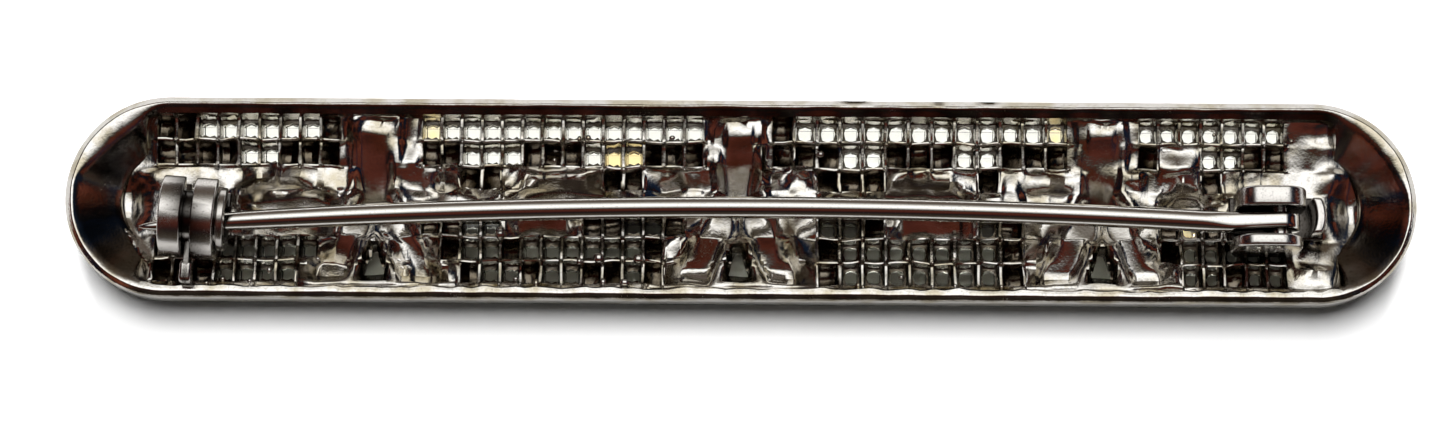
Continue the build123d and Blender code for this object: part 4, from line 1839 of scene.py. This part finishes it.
@dataclass
class Studio:
    """The floor, the lights, the surroundings seen in the metal and the camera."""

    distance: float = 210.0
    elevation: float = 78.0
    roll: float = 0.35
    aim: tuple[float, float, float] = (-1.04, -0.84, 3.0)
    view_width: float = 81.6
    sensor: float = 36.0
    floor_size: float = 2.0
    paper: Colour = (0.9, 0.9, 0.9)
    paper_in_metal: Colour = (0.46, 0.455, 0.45)
    even_light: float = 0.03
    far_start: float = 0.62
    far_share: float = 0.42
    side_start: float = 0.36
    side_end: float = 0.62
    patch_scale: float = 2.4
    room: tuple[tuple[float, Colour], ...] = (
        (-180.0, (0.75, 0.75, 0.75)),
        (-100.0, (0.7, 0.7, 0.7)),
        (-90.0, (0.25, 0.24, 0.23)),
        (-80.0, (0.07, 0.055, 0.04)),
        (-60.0, (0.035, 0.026, 0.02)),
        (-52.0, (0.014, 0.013, 0.015)),
        (-44.0, (0.06, 0.018, 0.014)),
        (-24.0, (0.13, 0.034, 0.022)),
        (-14.0, (0.05, 0.045, 0.04)),
        (-4.0, (0.75, 0.74, 0.72)),
        (8.0, (1.9, 1.9, 1.9)),
        (22.0, (1.9, 1.9, 1.9)),
        (34.0, (1.1, 1.09, 1.06)),
        (46.0, (0.36, 0.34, 0.31)),
        (60.0, (0.13, 0.1, 0.08)),
        (80.0, (0.2, 0.17, 0.15)),
        (98.0, (0.8, 0.79, 0.76)),
        (180.0, (0.75, 0.75, 0.75)),
    )
    patches: tuple[tuple[float, Colour], ...] = (
        (0.0, (0.01, 0.018, 0.04)),
        (0.42, (0.01, 0.018, 0.04)),
        (0.47, (0.006, 0.006, 0.008)),
        (0.53, (0.008, 0.007, 0.008)),
        (0.58, (0.12, 0.03, 0.02)),
        (0.7, (0.2, 0.06, 0.035)),
    )

    def build_floor(self) -> None:
        """Builds the pale floor."""
        floor = grid_sheet("paper", 3, 3)
        set_vertex_places(floor, vertex_places(floor) * self.floor_size)
        paper = bpy.data.materials.new("white_paper")
        paper.use_nodes = True
        tree = paper.node_tree
        shader = tree.nodes["Principled BSDF"]
        shader.inputs["Roughness"].default_value = 0.7
        shader.inputs["Specular IOR Level"].default_value = 0.1
        white = blended(tree, mirrored_share(tree), self.paper, self.paper_in_metal)
        tree.links.new(white, shader.inputs["Base Color"])
        floor.data.materials.append(paper)

    def build_lights(self) -> None:
        """Builds a soft light high on the far side and a low one that shines in under the far edge."""
        for name, place, size_x, size_y, power in (
            ("window", (-0.03, 0.12, 0.59), 0.34, 0.3, 4.7),
            ("low_window", (0.0, 0.67, 0.21), 0.5, 0.1, 22.0),
        ):
            data = bpy.data.lights.new(name, "AREA")
            data.shape = "RECTANGLE"
            data.size = size_x
            data.size_y = size_y
            data.energy = power
            lamp = bpy.data.objects.new(name, data)
            bpy.context.scene.collection.objects.link(lamp)
            lamp.location = place
            lamp.rotation_euler = (-Vector(place)).to_track_quat("-Z", "Y").to_euler()
            lamp.visible_glossy = False

    def build_world(self) -> None:
        """Builds the surroundings: even light for the paper, a bright and dark room for the metal."""
        world = bpy.data.worlds.new("room")
        bpy.context.scene.world = world
        world.use_nodes = True
        tree = world.node_tree
        nodes, links = tree.nodes, tree.links
        nodes.clear()
        output = nodes.new("ShaderNodeOutputWorld")
        even = nodes.new("ShaderNodeBackground")
        even.inputs["Color"].default_value = (1.0, 1.0, 1.0, 1.0)
        even.inputs["Strength"].default_value = self.even_light
        room = nodes.new("ShaderNodeBackground")
        room.inputs["Strength"].default_value = 1.0
        mix = nodes.new("ShaderNodeMixShader")
        links.new(mirrored_share(tree), mix.inputs["Fac"])
        links.new(even.outputs[0], mix.inputs[1])
        links.new(room.outputs[0], mix.inputs[2])
        links.new(mix.outputs[0], output.inputs["Surface"])

        place = nodes.new("ShaderNodeTexCoord").outputs["Generated"]
        split = nodes.new("ShaderNodeSeparateXYZ")
        links.new(place, split.inputs[0])
        turn = nodes.new("ShaderNodeMath")
        turn.operation = "ARCTAN2"
        links.new(split.outputs["Y"], turn.inputs[0])
        links.new(split.outputs["Z"], turn.inputs[1])
        share = nodes.new("ShaderNodeMapRange")
        share.inputs["From Min"].default_value = -math.pi
        share.inputs["From Max"].default_value = math.pi
        links.new(turn.outputs[0], share.inputs["Value"])

        def ramp(stops: tuple[tuple[float, Colour], ...]) -> bpy.types.Node:
            """A colour ramp.

            Args:
                stops: Place from 0 to 1 and colour of each stop.

            Returns:
                The new node.
            """
            node = nodes.new("ShaderNodeValToRGB")
            elements = node.color_ramp.elements
            elements.remove(elements[-1])
            for index, (at, colour) in enumerate(stops):
                element = elements[0] if index == 0 else elements.new(at)
                element.position = at
                element.color = (*colour, 1.0)
            return node

        band = ramp(tuple(((degrees + 180.0) / 360.0, colour) for degrees, colour in self.room))
        links.new(share.outputs["Result"], band.inputs["Fac"])
        lumps = nodes.new("ShaderNodeTexNoise")
        lumps.inputs["Scale"].default_value = self.patch_scale
        lumps.inputs["Detail"].default_value = 1.5
        links.new(place, lumps.inputs["Vector"])
        patches = ramp(self.patches)
        links.new(lumps.outputs["Fac"], patches.inputs["Fac"])
        beyond = nodes.new("ShaderNodeMapRange")
        beyond.inputs["From Min"].default_value = self.far_start
        beyond.inputs["To Max"].default_value = self.far_share
        links.new(split.outputs["Y"], beyond.inputs["Value"])
        flat = nodes.new("ShaderNodeCombineXYZ")
        links.new(split.outputs["X"], flat.inputs["X"])
        links.new(beyond.outputs["Result"], flat.inputs["Y"])
        outward = nodes.new("ShaderNodeVectorMath")
        outward.operation = "LENGTH"
        links.new(flat.outputs[0], outward.inputs[0])
        side = nodes.new("ShaderNodeMapRange")
        side.interpolation_type = "SMOOTHSTEP"
        side.inputs["From Min"].default_value = self.side_start
        side.inputs["From Max"].default_value = self.side_end
        links.new(outward.outputs["Value"], side.inputs["Value"])
        whole = blended(tree, side.outputs["Result"], band.outputs["Color"], patches.outputs["Color"])
        links.new(whole, room.inputs["Color"])

    def build_camera(self) -> None:
        """Builds the camera at the photograph's angle."""
        data = bpy.data.cameras.new("photo_camera")
        data.sensor_width = self.sensor
        data.lens = self.sensor * self.distance / self.view_width
        data.clip_start = 0.01
        data.clip_end = 10.0
        camera = bpy.data.objects.new("photo_camera", data)
        bpy.context.scene.collection.objects.link(camera)
        up = math.radians(self.elevation)
        back = Vector((0.0, -math.cos(up), math.sin(up)))
        right = Vector((1.0, 0.0, 0.0))
        top = back.cross(right)
        turned = Matrix((right, top, back)).transposed().to_4x4()
        spin = Matrix.Rotation(math.radians(self.roll), 4, "Z")
        stand = Matrix.Translation((Vector(self.aim) + back * self.distance) * MM)
        camera.matrix_world = stand @ turned @ spin
        bpy.context.scene.camera = camera

    def build(self) -> None:
        """Builds everything that isn't the brooch."""
        bpy.context.scene.view_settings.view_transform = "Standard"
        self.build_floor()
        self.build_lights()
        self.build_world()
        self.build_camera()


@dataclass
class Brooch:
    """The whole brooch: builds its pieces in order and dresses them."""

    nodes: dict[str, bpy.types.Object]
    form: BarForm = field(default_factory=BarForm)

    def build(self) -> None:
        """Builds and dresses every piece."""
        chart = StoneChart(self.form)
        relief = Relief(self.form)
        cast = PlatedMetal(
            "plated_cast_metal", roughness=0.1, rubbed=0.34, speck_mm=0.15, bump=0.5, painted_shade=True,
            tarnish_share=0.75,
        )
        # The finding's near-black stain colour is also the colour of its painted shade at feet, ring gap and
        # ears.
        finding = PlatedMetal(
            "plated_stamped_metal", colour=(0.57, 0.55, 0.52), roughness=0.2, rubbed=0.34, speck_mm=0.12,
            bump=0.25, stain_and_shade=(0.03, 0.025, 0.02), painted_shade=True,
        )
        wire = PlatedMetal("plated_drawn_wire", roughness=0.09, rubbed=0.18, speck_mm=0.1, bump=0.08)
        # The rotor's darker colour and near-black stain colour paint the shade in the gap between the rings.
        inner = PlatedMetal(
            "plated_rotor_metal", colour=(0.5, 0.48, 0.45), stain_and_shade=(0.02, 0.018, 0.015), roughness=0.2,
            speck_mm=0.12, painted_shade=True,
        )
        stone = ClearStone("cut_glass", yellow_places=(
            (-17.6, 4.165), (-7.25, 2.735), (-6.1, 2.735), (17.95, 4.165), (25.5, -1.305),
        ))
        cast_metal, stamped, drawn = cast.material(), finding.material(), wire.material()
        rotor_metal, glass = inner.material(), stone.material()

        plate = CastPlate(self.form, chart, relief).build()
        rim = CastRim(self.form).build()
        beads = CastBeads(self.form, chart).build()
        dress(joined("cast_body", [plate, rim, beads]), "brooch", "plated_casting", cast_metal, "casting")
        catch = Catch()
        dress(catch.build_rings(), "brooch", "plated_finding", stamped, "catch")
        dress(catch.build_rotor(), "catch_rotor", "plated_finding", rotor_metal, "rotor")
        hinge = HingeMount()
        dress(hinge.build(), "brooch", "plated_finding", stamped, "hinge")
        dress(hinge.build_rivet(), "brooch", "plated_finding", stamped, "rivet")
        dress(PinStem().build(), "pin", "pin_wire", drawn, "pin_stem")
        for name, node in self.nodes.items():
            if "stone" in name:
                node.data.materials.clear()
                node.data.materials.append(glass)
                LOG.info("%s: kept, in cut glass", name)


def main() -> None:
    """Loads the frame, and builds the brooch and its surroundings."""
    logging.basicConfig(level=logging.INFO, format="%(message)s")
    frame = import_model()
    Studio().build()
    Brooch(frame["nodes"]).build()


if __name__ == "__main__":
    main()
